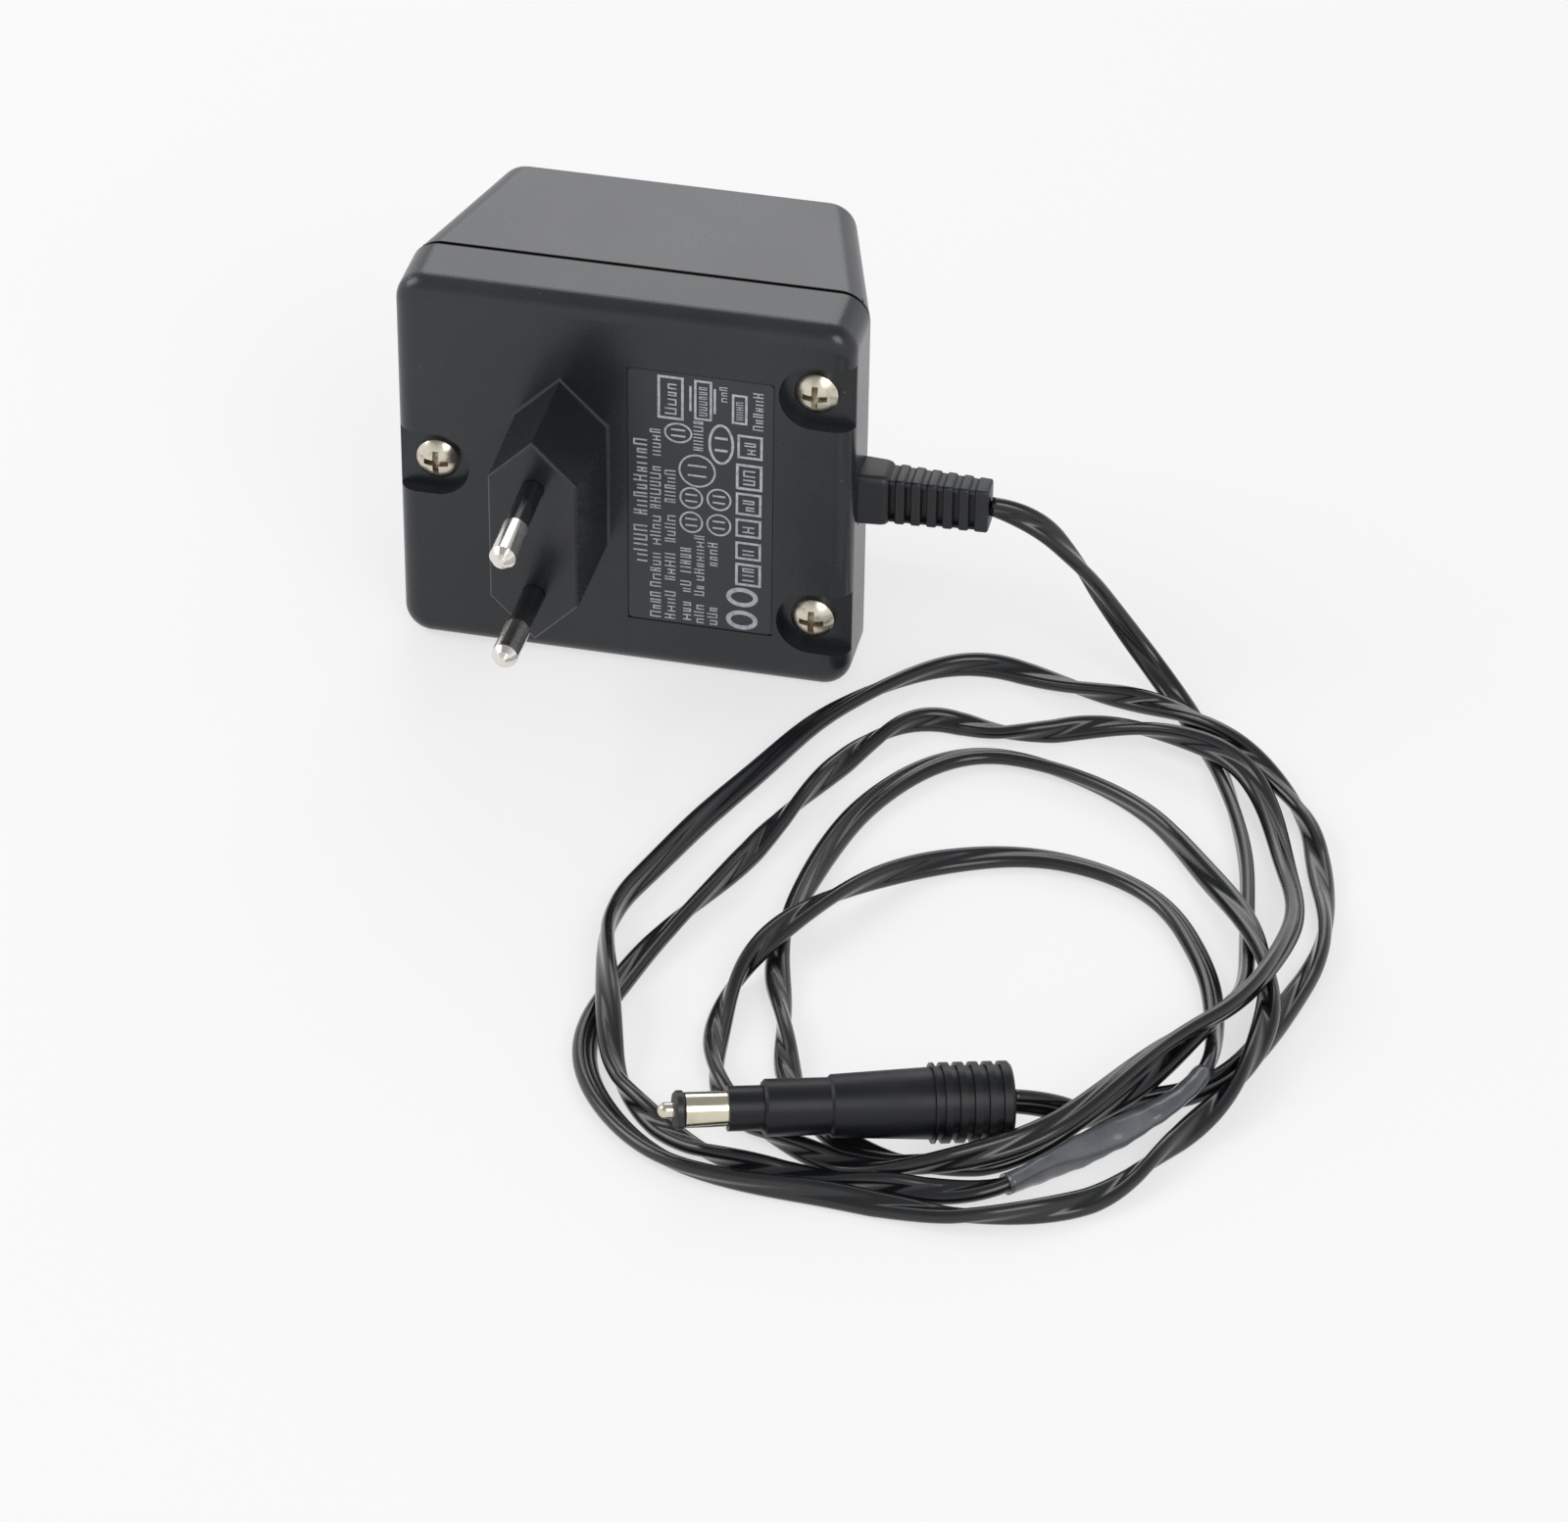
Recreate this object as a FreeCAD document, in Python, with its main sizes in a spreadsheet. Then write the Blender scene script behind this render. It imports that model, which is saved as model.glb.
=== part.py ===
"""Plug-in mains transformer with its output cord, millimetres, +Z up.

The origin is under the middle of the housing and pins. The mains pins point to -Y, the cord leaves to +X,
and the housing stands on its lower long side at z = 0.
"""
import FreeCAD, Part
import math
import os
import Sketcher
from FreeCAD import Placement, Rotation, Vector

SIZES = [
    ("body_width", 71.0, "housing, left to right, at the parting line"),
    ("back_width", 55.4, "housing, left to right, at the back"),
    ("body_height", 64.6, "housing, bottom to top"),
    ("body_depth", 38.5, "housing, front face to back"),
    ("cover_depth", 11.5, "front face to parting line"),
    ("corner_radius", 4.5, "long corners of the housing"),
    ("front_edge_radius", 3.0, "rounding round the front face"),
    ("back_edge_radius", 2.3, "rounding round the back"),
    ("wall", 2.4, "housing wall"),
    ("groove_width", 0.5, "groove along the parting line"),
    ("groove_depth", 0.4, "groove along the parting line"),
    ("tongue_length", 1.5, "lip of the cover that enters the rear housing"),
    ("tongue_thickness", 0.9, "lip of the cover"),
    ("tongue_clearance", 0.15, "lip to rear housing"),
    ("boss_offset", 9.6, "mains plug axis, to the left of the middle"),
    ("boss_height", 17.4, "front face to the plug's engagement face"),
    ("boss_width", 13.7, "engagement face"),
    ("boss_length", 35.3, "engagement face, point to point"),
    ("boss_flat", 21.4, "straight side of the engagement face"),
    ("boss_draft", 0.25, "how much the boss grows to its root, each side"),
    ("boss_wall", 2.2, "skirt of the boss"),
    ("boss_floor", 4.0, "end wall of the boss"),
    ("boss_edge_radius", 0.5, "rounding round the engagement face"),
    ("pin_diameter", 4.0, "mains pin"),
    ("pin_neck_diameter", 3.0, "mains pin under its sleeve"),
    ("pin_root_diameter", 3.6, "mains pin inside the boss"),
    ("pin_length", 19.0, "mains pin beyond the boss"),
    ("pin_root_spacing", 18.8, "pin axes at the engagement face"),
    ("pin_tip_spacing", 17.5, "pin axes at the tips"),
    ("pin_chamfer", 1.5, "pin tip"),
    ("pin_clearance", 0.03, "pin to its bore in the boss"),
    ("pin_socket_wall", 1.6, "tube that holds a pin inside the boss"),
    ("pin_tail", 2.6, "pin behind the cover's inner face"),
    ("sleeve_length", 10.0, "insulating sleeve on a pin"),
    ("sleeve_diameter", 3.5, "insulating sleeve on a pin"),
    ("sleeve_clearance", 0.05, "insulating sleeve to the boss and to the pin's shoulder"),
    ("screw_inset", 6.05, "screw axes to the housing's sides"),
    ("screw_rise", 20.3, "right screws above and below the middle"),
    ("recess_radius", 5.4, "screw recess"),
    ("recess_depth", 2.4, "screw recess"),
    ("recess_floor", 2.0, "wall under a screw recess"),
    ("screw_hole", 3.4, "screw hole in the cover, diameter"),
    ("screw_core", 2.5, "pilot hole of a screw, diameter"),
    ("shank_clearance", 0.05, "screw shank to its pilot hole, each side"),
    ("head_diameter", 6.7, "screw head"),
    ("head_height", 2.3, "screw head"),
    ("head_edge", 0.8, "straight side of the screw head"),
    ("cross_length", 3.8, "cross recess"),
    ("cross_width", 0.95, "cross recess"),
    ("cross_depth", 1.3, "cross recess"),
    ("post_radius", 3.6, "screw post"),
    ("post_depth", 8.0, "screw post behind the parting line"),
    ("pilot_depth", 7.0, "pilot hole behind the parting line"),
    ("screw_gap", 0.6, "screw point to the pilot hole's end"),
    ("label_left", 0.9, "label's left edge, right of the middle"),
    ("label_width", 22.4, "label"),
    ("label_length", 45.2, "label"),
    ("label_drop", 0.8, "label's middle below the housing's middle"),
    ("label_recess", 0.3, "label recess"),
    ("label_thickness", 0.2, "label"),
    ("label_clearance", 0.15, "label to the recess edge"),
    ("label_corner", 0.8, "label corners"),
    ("relief_front", 5.0, "front face of the housing to the strain relief"),
    ("relief_height", 8.8, "strain relief at the wall"),
    ("relief_end_height", 7.4, "strain relief at its end"),
    ("relief_end_depth", 4.4, "strain relief at its end"),
    ("relief_block", 4.6, "plain block outside the wall"),
    ("relief_step", 0.5, "block over the ribbed part"),
    ("relief_length", 19.8, "wall to the strain relief's end"),
    ("relief_foot", 2.0, "foot inside the wall"),
    ("relief_foot_margin", 0.9, "foot beyond the notch"),
    ("relief_clearance", 0.1, "strain relief to its notch"),
    ("relief_edge", 0.6, "rounding along the strain relief"),
    ("slot_pitch", 2.45, "slots of the strain relief"),
    ("slot_width", 0.95, "slots of the strain relief"),
    ("slot_web", 1.8, "strain relief between its front and back slots"),
    ("slot_margin", 0.7, "slot ends to the edge"),
    ("core_post_gap", 1.85, "iron core to the screw posts"),
    ("core_side_gap", 1.3, "iron core to the side walls at the back"),
    ("coil_clearance", 0.4, "coil to the housing's back wall"),
    ("coil_front_gap", 4.1, "coil to the cover's inner face"),
    ("coil_build", 5.6, "winding beyond the stack, front and back"),
    ("bobbin_wall", 0.9, "winding former"),
    ("bobbin_clearance", 0.15, "winding former to the core"),
    ("winding_inset", 0.2, "taped winding to the flange's edge"),
    ("winding_corner", 2.0, "bend of the winding round a corner"),
    ("tape_thickness", 0.3, "tape round a winding"),
    ("rail_width", 3.0, "rails that hold the core"),
    ("rail_height", 7.0, "rails that hold the core"),
    ("fuse_diameter", 2.8, "thermal fuse"),
    ("fuse_length", 8.0, "thermal fuse"),
    ("lead_diameter", 1.3, "insulated lead"),
    ("lead_clearance", 0.1, "lead to the tape and to the pin tails"),
    ("lead_bow", 5.0, "free lead beside a joint"),
    ("lead_pair_pitch", 2.2, "the two leads at the strain relief"),
    ("cord_diameter", 2.8, "output cord, mean of its flat section"),
    ("splice_diameter", 4.2, "sleeve over the splice of the cord"),
    ("grip_diameter", 11.3, "plug, ribbed end"),
    ("grip_length", 11.1, "plug, ribbed end"),
    ("grip_groove_pitch", 2.05, "ring grooves of the plug"),
    ("grip_groove_width", 1.0, "ring grooves of the plug"),
    ("grip_groove_depth", 0.5, "ring grooves of the plug"),
    ("plug_root_diameter", 10.1, "plug body beside its ribbed end"),
    ("plug_front_diameter", 8.8, "plug body at its front"),
    ("plug_body_length", 14.3, "plug body between ribbed end and step"),
    ("plug_step_diameter", 8.0, "plug body, stepped part"),
    ("plug_step_length", 9.2, "plug body, stepped part"),
    ("plug_neck_diameter", 6.3, "plug body, neck"),
    ("plug_neck_length", 4.9, "plug body, neck"),
    ("plug_edge", 0.4, "bevels on the plug's steps"),
    ("barrel_diameter", 5.0, "plug, metal barrel"),
    ("barrel_length", 5.9, "plug, metal barrel beyond the neck"),
    ("barrel_bore", 3.3, "plug, bore of the metal barrel"),
    ("barrel_tail_diameter", 4.2, "plug, barrel inside the neck"),
    ("barrel_tail", 8.0, "plug, barrel inside the neck"),
    ("tip_ring_diameter", 5.5, "plug, insulating ring at the barrel's front"),
    ("tip_ring_length", 1.6, "plug, insulating ring at the barrel's front"),
    ("contact_diameter", 2.3, "plug, middle contact"),
    ("contact_length", 2.2, "plug, middle contact beyond the ring"),
]

doc = FreeCAD.newDocument("PlugInTransformer")
sheet = doc.addObject("Spreadsheet::Sheet", "Sizes")
for row, (alias, value, meaning) in enumerate(SIZES, 1):
    sheet.set("A%d" % row, meaning)
    sheet.set("B%d" % row, "%g" % value)
    sheet.setAlias("B%d" % row, alias)
doc.recompute()


class Length:
    """A size: its value now and the rule, in the sheet's names, that gives it."""

    def __init__(self, rule, value):
        self.rule = rule
        self.value = value

    def join(self, other, sign, value):
        other_rule = other.rule if isinstance(other, Length) else "%g" % other
        return Length("(%s %s %s)" % (self.rule, sign, other_rule), value)

    def __add__(self, other):
        return self.join(other, "+", self.value + number(other))

    def __sub__(self, other):
        return self.join(other, "-", self.value - number(other))

    def __mul__(self, other):
        return self.join(other, "*", self.value * number(other))

    def __truediv__(self, other):
        return self.join(other, "/", self.value / number(other))

    def __neg__(self):
        return Length("(0 - %s)" % self.rule, -self.value)


def number(length):
    return length.value if isinstance(length, Length) else float(length)


def size(alias):
    return Length("Sizes." + alias, float(sheet.get(alias)))


def least(first, second):
    return Length("min(%s; %s)" % (first.rule, second.rule), min(first.value, second.value))


def bind(item, prop, length):
    """Ties a property to a rule of the sheet."""
    if isinstance(length, Length):
        item.setExpression(prop, length.rule)


# Places that several pieces share
ZERO = size("body_width") * 0
MID = size("body_height") / 2
FACE = (size("boss_height") + size("pin_length") - size("body_depth")) / 2
PARTING = FACE + size("cover_depth")
BACK = FACE + size("body_depth")
INNER_FACE = FACE + size("wall")
INNER_BACK = BACK - size("wall")
ENGAGE = FACE - size("boss_height")
INNER_WIDTH = size("body_width") - size("wall") * 2
INNER_HEIGHT = size("body_height") - size("wall") * 2
HALF_TONGUE = size("wall") - size("tongue_thickness") - size("tongue_clearance")
SEAT = FACE + size("recess_depth")
PIN_SLOPE = (size("pin_root_spacing") - size("pin_tip_spacing")) / 2 / size("pin_length")
SCREW_SPREAD = size("body_width") / 2 - size("screw_inset")
SCREWS = {
    "left": (-SCREW_SPREAD, ZERO),
    "upper": (SCREW_SPREAD, size("screw_rise")),
    "lower": (SCREW_SPREAD, -size("screw_rise")),
}


def new_body(name):
    body = doc.addObject("PartDesign::Body", name)
    body.Label = name
    return body


def plane(body, role):
    return [item for item in body.Origin.OriginFeatures if item.Role == role][0]


def sketch_on(body, name, role, offset=None, shift=None):
    """Sketch on an origin plane of the body, offset along its normal and shifted in it."""
    sketch = body.newObject("Sketcher::SketchObject", name)
    sketch.AttachmentSupport = [(plane(body, role), "")]
    sketch.MapMode = "FlatFace"
    shift = shift or (ZERO, ZERO)
    offset = offset or ZERO
    sketch.AttachmentOffset = Placement(Vector(number(shift[0]), number(shift[1]), number(offset)), Rotation())
    bind(sketch, "AttachmentOffset.Base.x", shift[0])
    bind(sketch, "AttachmentOffset.Base.y", shift[1])
    bind(sketch, "AttachmentOffset.Base.z", offset)
    return sketch


def front_sketch(body, name, depth, across=None, rise=None):
    """Sketch that looks along +Y, at the given depth, about the housing's middle."""
    return sketch_on(body, name, "XZ_Plane", -depth, (across or ZERO, MID + (rise or ZERO)))


def hold_point(sketch, geometry, end, x, y):
    """Holds one point of the sketch at x, y."""
    for kind, length in (("DistanceX", x), ("DistanceY", y)):
        index = sketch.addConstraint(Sketcher.Constraint(kind, -1, 1, geometry, end, number(length)))
        bind(sketch, "Constraints[%d]" % index, length)


def hold_radius(sketch, geometry, radius):
    index = sketch.addConstraint(Sketcher.Constraint("Radius", geometry, number(radius)))
    bind(sketch, "Constraints[%d]" % index, radius)


def polygon(sketch, corners):
    """Closed outline through the corners."""
    spots = [Vector(number(x), number(y), 0) for x, y in corners]
    first = sketch.GeometryCount
    count = len(spots)
    for i, spot in enumerate(spots):
        sketch.addGeometry(Part.LineSegment(spot, spots[(i + 1) % count]), False)
    for i in range(count):
        after = first + (i + 1) % count
        sketch.addConstraint(Sketcher.Constraint("Coincident", first + i, 2, after, 1))
    for i, (x, y) in enumerate(corners):
        hold_point(sketch, first + i, 1, x, y)


def rectangle(sketch, left, right, low, high):
    polygon(sketch, [(left, low), (right, low), (right, high), (left, high)])


def centred_rectangle(sketch, width, height):
    rectangle(sketch, -width / 2, width / 2, -height / 2, height / 2)


def rounded_rectangle(sketch, width, height, radius):
    """Rectangle about the sketch's origin with rounded corners."""
    x = width / 2
    y = height / 2
    first = sketch.GeometryCount
    sides = [
        ((x, radius - y), (x, y - radius)), ((x - radius, y), (radius - x, y)),
        ((-x, y - radius), (-x, radius - y)), ((radius - x, -y), (x - radius, -y)),
    ]
    centres = [(x - radius, y - radius), (radius - x, y - radius), (radius - x, radius - y), (x - radius, radius - y)]
    for i in range(4):
        start, end = [Vector(number(a), number(b), 0) for a, b in sides[i]]
        sketch.addGeometry(Part.LineSegment(start, end), False)
        centre = Vector(number(centres[i][0]), number(centres[i][1]), 0)
        ring = Part.Circle(centre, Vector(0, 0, 1), number(radius))
        sketch.addGeometry(Part.ArcOfCircle(ring, math.pi / 2 * i, math.pi / 2 * (i + 1)), False)
    for i in range(8):
        sketch.addConstraint(Sketcher.Constraint("Coincident", first + i, 2, first + (i + 1) % 8, 1))
    for i in range(4):
        hold_point(sketch, first + i * 2, 1, *sides[i][0])
        hold_point(sketch, first + i * 2, 2, *sides[i][1])
        hold_radius(sketch, first + i * 2 + 1, radius)


def circle(sketch, x, y, radius):
    middle = Vector(number(x), number(y), 0)
    index = sketch.addGeometry(Part.Circle(middle, Vector(0, 0, 1), number(radius)), False)
    hold_point(sketch, index, 3, x, y)
    hold_radius(sketch, index, radius)


def boss_outline(sketch, grow):
    """Long hexagon of the mains plug, grown on all sides."""
    half = size("boss_width") / 2 + grow
    tip = size("boss_length") / 2 + grow
    flat = size("boss_flat") / 2 + grow / 2
    polygon(sketch, [(half, -flat), (half, flat), (ZERO, tip), (-half, flat), (-half, -flat), (ZERO, -tip)])


def pad(body, sketch, name, length, reverse=False):
    feature = body.newObject("PartDesign::Pad", name)
    feature.Profile = sketch
    feature.Length = number(length)
    bind(feature, "Length", length)
    feature.Reversed = reverse
    return feature


def pocket(body, sketch, name, length, reverse=False):
    """Cuts the sketch out of the body, and checks that it does cut."""
    doc.recompute()
    if body.Shape.isNull():
        raise RuntimeError("%s has nothing to cut" % name)
    before = body.Shape.Volume
    feature = body.newObject("PartDesign::Pocket", name)
    feature.Profile = sketch
    feature.Length = number(length)
    bind(feature, "Length", length)
    feature.Reversed = reverse
    doc.recompute()
    if feature.Shape.isNull() or not feature.Shape.Volume < before - 1e-6:
        raise RuntimeError("%s cuts nothing" % name)
    return feature


def loft(body, kind, name, first, second):
    feature = body.newObject("PartDesign::" + kind, name)
    feature.Profile = first
    feature.Sections = [second]
    feature.Ruled = True
    return feature


def revolve(body, sketch, name, axis="V_Axis"):
    feature = body.newObject("PartDesign::Revolution", name)
    feature.Profile = sketch
    feature.ReferenceAxis = (sketch, [axis])
    feature.Angle = 360
    return feature


def edge_names(feature, keep):
    doc.recompute()
    return ["Edge%d" % (i + 1) for i, edge in enumerate(feature.Shape.Edges) if keep(edge)]


def soften(body, name, feature, keep, radius, kind="Fillet"):
    """Rounds or chamfers the chosen edges."""
    names = edge_names(feature, keep)
    if not names:
        raise RuntimeError("%s finds no edge" % name)
    result = body.newObject("PartDesign::" + kind, name)
    result.Base = (feature, names)
    prop = "Radius" if kind == "Fillet" else "Size"
    setattr(result, prop, number(radius))
    bind(result, prop, radius)
    doc.recompute()
    if "Invalid" in result.State or "Error" in result.State or result.Shape.isNull():
        raise RuntimeError("%s fails on %s" % (name, ", ".join(names)))
    return result


def at_depth(depth):
    """Edges that lie in the plane y = depth."""
    level = number(depth)
    return lambda edge: all(abs(v.Point.y - level) < 1e-4 for v in edge.Vertexes)


def between(near, far):
    """Edges that run from depth near to depth far."""
    low, high = sorted((number(near), number(far)))

    def keep(edge):
        box = edge.BoundBox
        return abs(box.YMin - low) < 1e-3 and abs(box.YMax - high) < 1e-3
    return keep


def side_gap_at(depth):
    """How far the rear housing's side wall has moved in at a depth behind the parting line."""
    run = size("body_depth") - size("cover_depth")
    return (size("body_width") - size("back_width")) / 2 * depth / run


# The coil fills the room but for its clearances, and the iron stack lies in the coil's middle
COIL_BACK = INNER_BACK - size("coil_clearance")
COIL_FRONT = INNER_FACE + size("coil_front_gap")
CORE_BACK = COIL_BACK - size("coil_build")
CORE_FRONT = COIL_FRONT + size("coil_build")
CORE_STACK = CORE_BACK - CORE_FRONT

# The iron sheets are as wide as the screw posts and the side walls leave room for, six outer legs wide
# and half as high in their windows
CORE_WIDTH = least(
    (SCREW_SPREAD - size("post_radius") - size("core_post_gap")) * 2,
    size("back_width") - (size("wall") + size("core_side_gap")) * 2,
)
CORE_LEG = CORE_WIDTH / 6
CORE_WINDOW = CORE_WIDTH / 2


def make_rear_housing():
    """Deep half: tapered side walls, groove at its mouth, screw posts and core rails inside."""
    body = new_body("rear_housing")
    mouth_depth = PARTING + size("groove_width")
    mouth_in = side_gap_at(size("groove_width"))
    mouth_half = size("body_width") / 2 - mouth_in
    back_half = size("back_width") / 2
    plan = sketch_on(body, "RearPlan", "XY_Plane")
    polygon(plan, [
        (-mouth_half, mouth_depth), (mouth_half, mouth_depth), (back_half, BACK), (-back_half, BACK),
    ])
    shell = pad(body, plan, "RearBlock", size("body_height"))
    corners = soften(body, "RearCorners", shell, between(mouth_depth, BACK), size("corner_radius"))
    rounded = soften(body, "RearBackEdges", corners, at_depth(BACK), size("back_edge_radius"))
    neck = front_sketch(body, "GrooveNeck", mouth_depth)
    inset = size("groove_depth") * 2
    neck_corner = size("corner_radius") - size("groove_depth")
    neck_width = size("body_width") - mouth_in * 2 - inset
    rounded_rectangle(neck, neck_width, size("body_height") - inset, neck_corner)
    pad(body, neck, "GrooveFloor", size("groove_width"))

    room = sketch_on(body, "RoomPlan", "XY_Plane", size("body_height") - size("wall"))
    room_half = INNER_WIDTH / 2
    room_back = size("back_width") / 2 - size("wall") + side_gap_at(size("wall"))
    polygon(room, [
        (-room_half, PARTING), (room_half, PARTING), (room_back, INNER_BACK), (-room_back, INNER_BACK),
    ])
    cavity = pocket(body, room, "Cavity", INNER_HEIGHT)
    inner = between(PARTING, INNER_BACK)
    soften(body, "CavityCorners", cavity, inner, size("corner_radius") - size("wall"))

    rebate = front_sketch(body, "TongueRebate", PARTING)
    centred_rectangle(rebate, size("body_width") - HALF_TONGUE * 2, size("body_height") - HALF_TONGUE * 2)
    pocket(body, rebate, "Rebate", size("tongue_length") + size("tongue_clearance"))

    posts = front_sketch(body, "Posts", PARTING)
    for x, rise in SCREWS.values():
        circle(posts, x, rise, size("post_radius"))
    pad(body, posts, "ScrewPosts", size("post_depth"), True)
    web_start = size("tongue_length") + size("tongue_clearance")
    webs = front_sketch(body, "PostWebs", PARTING + web_start)
    web_end = (size("body_width") - size("wall")) / 2 - side_gap_at(size("post_depth"))
    for x, rise in SCREWS.values():
        side = 1 if number(x) > 0 else -1
        rectangle(webs, x, web_end * side, rise - size("post_radius"), rise + size("post_radius"))
    pad(body, webs, "WallWebs", size("post_depth") - web_start, True)
    pilots = front_sketch(body, "Pilots", PARTING)
    for x, rise in SCREWS.values():
        circle(pilots, x, rise, size("screw_core") / 2)
    pocket(body, pilots, "PilotHoles", size("pilot_depth"))

    rails = front_sketch(body, "Rails", INNER_BACK + size("wall") / 2)
    core_corners(rails)
    pad(body, rails, "CoreRails", INNER_BACK + size("wall") / 2 - CORE_BACK)
    return body


def core_corners(sketch):
    """Four short rails at the corners of the iron core."""
    x = CORE_WIDTH / 2 - CORE_LEG / 2
    z = CORE_WINDOW / 2 + CORE_LEG / 2
    half = size("rail_width") / 2
    rise = size("rail_height") / 2
    for across in (-x, x):
        for up in (-z, z):
            rectangle(sketch, across - half, across + half, up - rise, up + rise)


def recess(sketch, x, rise, radius, reach):
    """Round recess that runs out to the housing's nearest side."""
    side = 1 if number(x) > 0 else -1
    middle = Vector(number(x), number(rise), 0)
    top = Vector(middle.x, middle.y + number(radius), 0)
    low = Vector(middle.x, middle.y - number(radius), 0)
    out = number(reach) * side
    start, end = (math.pi / 2, 3 * math.pi / 2) if side > 0 else (-math.pi / 2, math.pi / 2)
    ring = Part.Circle(middle, Vector(0, 0, 1), number(radius))
    arc = sketch.addGeometry(Part.ArcOfCircle(ring, start, end), False)
    upper = sketch.addGeometry(Part.LineSegment(top, Vector(out, top.y, 0)), False)
    edge = sketch.addGeometry(Part.LineSegment(Vector(out, top.y, 0), Vector(out, low.y, 0)), False)
    lower = sketch.addGeometry(Part.LineSegment(Vector(out, low.y, 0), low), False)
    arc_top, arc_low = (1, 2) if side > 0 else (2, 1)
    for a, a_end, b, b_end in ((arc, arc_top, upper, 1), (upper, 2, edge, 1), (edge, 2, lower, 1), (lower, 2, arc, arc_low)):
        sketch.addConstraint(Sketcher.Constraint("Coincident", a, a_end, b, b_end))
    hold_point(sketch, arc, 3, x, rise)
    hold_point(sketch, upper, 1, x, rise + radius)
    hold_point(sketch, upper, 2, reach * side, rise + radius)
    hold_point(sketch, lower, 1, reach * side, rise - radius)
    index = sketch.addConstraint(Sketcher.Constraint("DistanceX", -1, 1, lower, 2, number(x)))
    bind(sketch, "Constraints[%d]" % index, x)


def pin_spread(depth):
    """Distance of each pin's axis from the plug's middle, at a depth."""
    return size("pin_root_spacing") / 2 + PIN_SLOPE * (depth - ENGAGE)


def make_front_cover():
    """Front half: plug boss, screw recesses and tubes, label recess, notch for the strain relief."""
    body = new_body("cover_moulding")
    front = front_sketch(body, "CoverFront", FACE)
    centred_rectangle(front, size("body_width"), size("body_height"))
    block = pad(body, front, "CoverBlock", size("cover_depth"), True)
    corners = soften(body, "CoverCorners", block, between(FACE, PARTING), size("corner_radius"))
    soften(body, "CoverFrontEdges", corners, at_depth(FACE), size("front_edge_radius"))

    hollow = front_sketch(body, "Hollow", INNER_FACE)
    centred_rectangle(hollow, INNER_WIDTH, INNER_HEIGHT)
    room = pocket(body, hollow, "Room", size("cover_depth") - size("wall"))
    soften(body, "RoomCorners", room, between(INNER_FACE, PARTING), size("corner_radius") - size("wall"))

    tongue = front_sketch(body, "Tongue", PARTING)
    lip = (HALF_TONGUE + size("tongue_clearance")) * 2
    centred_rectangle(tongue, size("body_width") - lip, size("body_height") - lip)
    lip = (HALF_TONGUE + size("tongue_clearance") + size("tongue_thickness")) * 2
    centred_rectangle(tongue, size("body_width") - lip, size("body_height") - lip)
    pad(body, tongue, "Lip", size("tongue_length"), True)

    pads = front_sketch(body, "RecessPads", INNER_FACE)
    grown = size("recess_radius") + size("wall") / 2
    for x, rise in SCREWS.values():
        recess(pads, x, rise, grown, size("body_width") / 2 - size("wall") / 2)
    pad(body, pads, "RecessFloors", SEAT + size("recess_floor") - INNER_FACE, True)
    tubes = front_sketch(body, "Tubes", SEAT + size("recess_floor") / 2)
    for x, rise in SCREWS.values():
        circle(tubes, x, rise, size("post_radius"))
    pad(body, tubes, "ScrewTubes", PARTING - SEAT - size("recess_floor") / 2, True)
    recesses = front_sketch(body, "Recesses", SEAT)
    for x, rise in SCREWS.values():
        recess(recesses, x, rise, size("recess_radius"), size("body_width") / 2 + size("wall"))
    pocket(body, recesses, "ScrewRecesses", size("recess_depth") + size("wall"), True)
    holes = front_sketch(body, "Holes", FACE)
    for x, rise in SCREWS.values():
        circle(holes, x, rise, size("screw_hole") / 2)
    pocket(body, holes, "ScrewHoles", size("cover_depth"))

    root = front_sketch(body, "BossRoot", INNER_FACE - size("wall") / 2, -size("boss_offset"))
    boss_outline(root, size("boss_draft"))
    top = front_sketch(body, "BossTop", ENGAGE, -size("boss_offset"))
    boss_outline(top, ZERO)
    boss = loft(body, "AdditiveLoft", "Boss", root, top)
    soften(body, "BossEdges", boss, at_depth(ENGAGE), size("boss_edge_radius"))
    inside = front_sketch(body, "BossInside", INNER_FACE, -size("boss_offset"))
    boss_outline(inside, -size("boss_wall"))
    pocket(body, inside, "BossHollow", INNER_FACE - ENGAGE - size("boss_floor"), True)
    sockets = front_sketch(body, "Sockets", INNER_FACE, -size("boss_offset"))
    for side in (-1, 1):
        circle(sockets, ZERO, pin_spread(FACE) * side, size("pin_root_diameter") / 2 + size("pin_socket_wall"))
    pad(body, sockets, "PinSockets", INNER_FACE - ENGAGE - size("boss_floor") / 2)
    rails = front_sketch(body, "Rails", INNER_FACE - size("wall") / 2)
    core_corners(rails)
    pad(body, rails, "CoreRails", CORE_FRONT - INNER_FACE + size("wall") / 2, True)

    film = front_sketch(body, "LabelSeat", FACE, size("label_left") + size("label_width") / 2, -size("label_drop"))
    margin = size("label_clearance") * 2
    centred_rectangle(film, size("label_width") + margin, size("label_length") + margin)
    pocket(body, film, "LabelRecess", size("label_recess"))

    notch = front_sketch(body, "Notch", PARTING + size("tongue_length"))
    half = size("relief_height") / 2 + size("relief_clearance")
    rectangle(notch, INNER_WIDTH / 2 - size("relief_foot"), size("body_width"), -half, half)
    depth = size("cover_depth") - size("relief_front") + size("relief_clearance") + size("tongue_length")
    pocket(body, notch, "ReliefNotch", depth, True)
    return body


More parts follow.
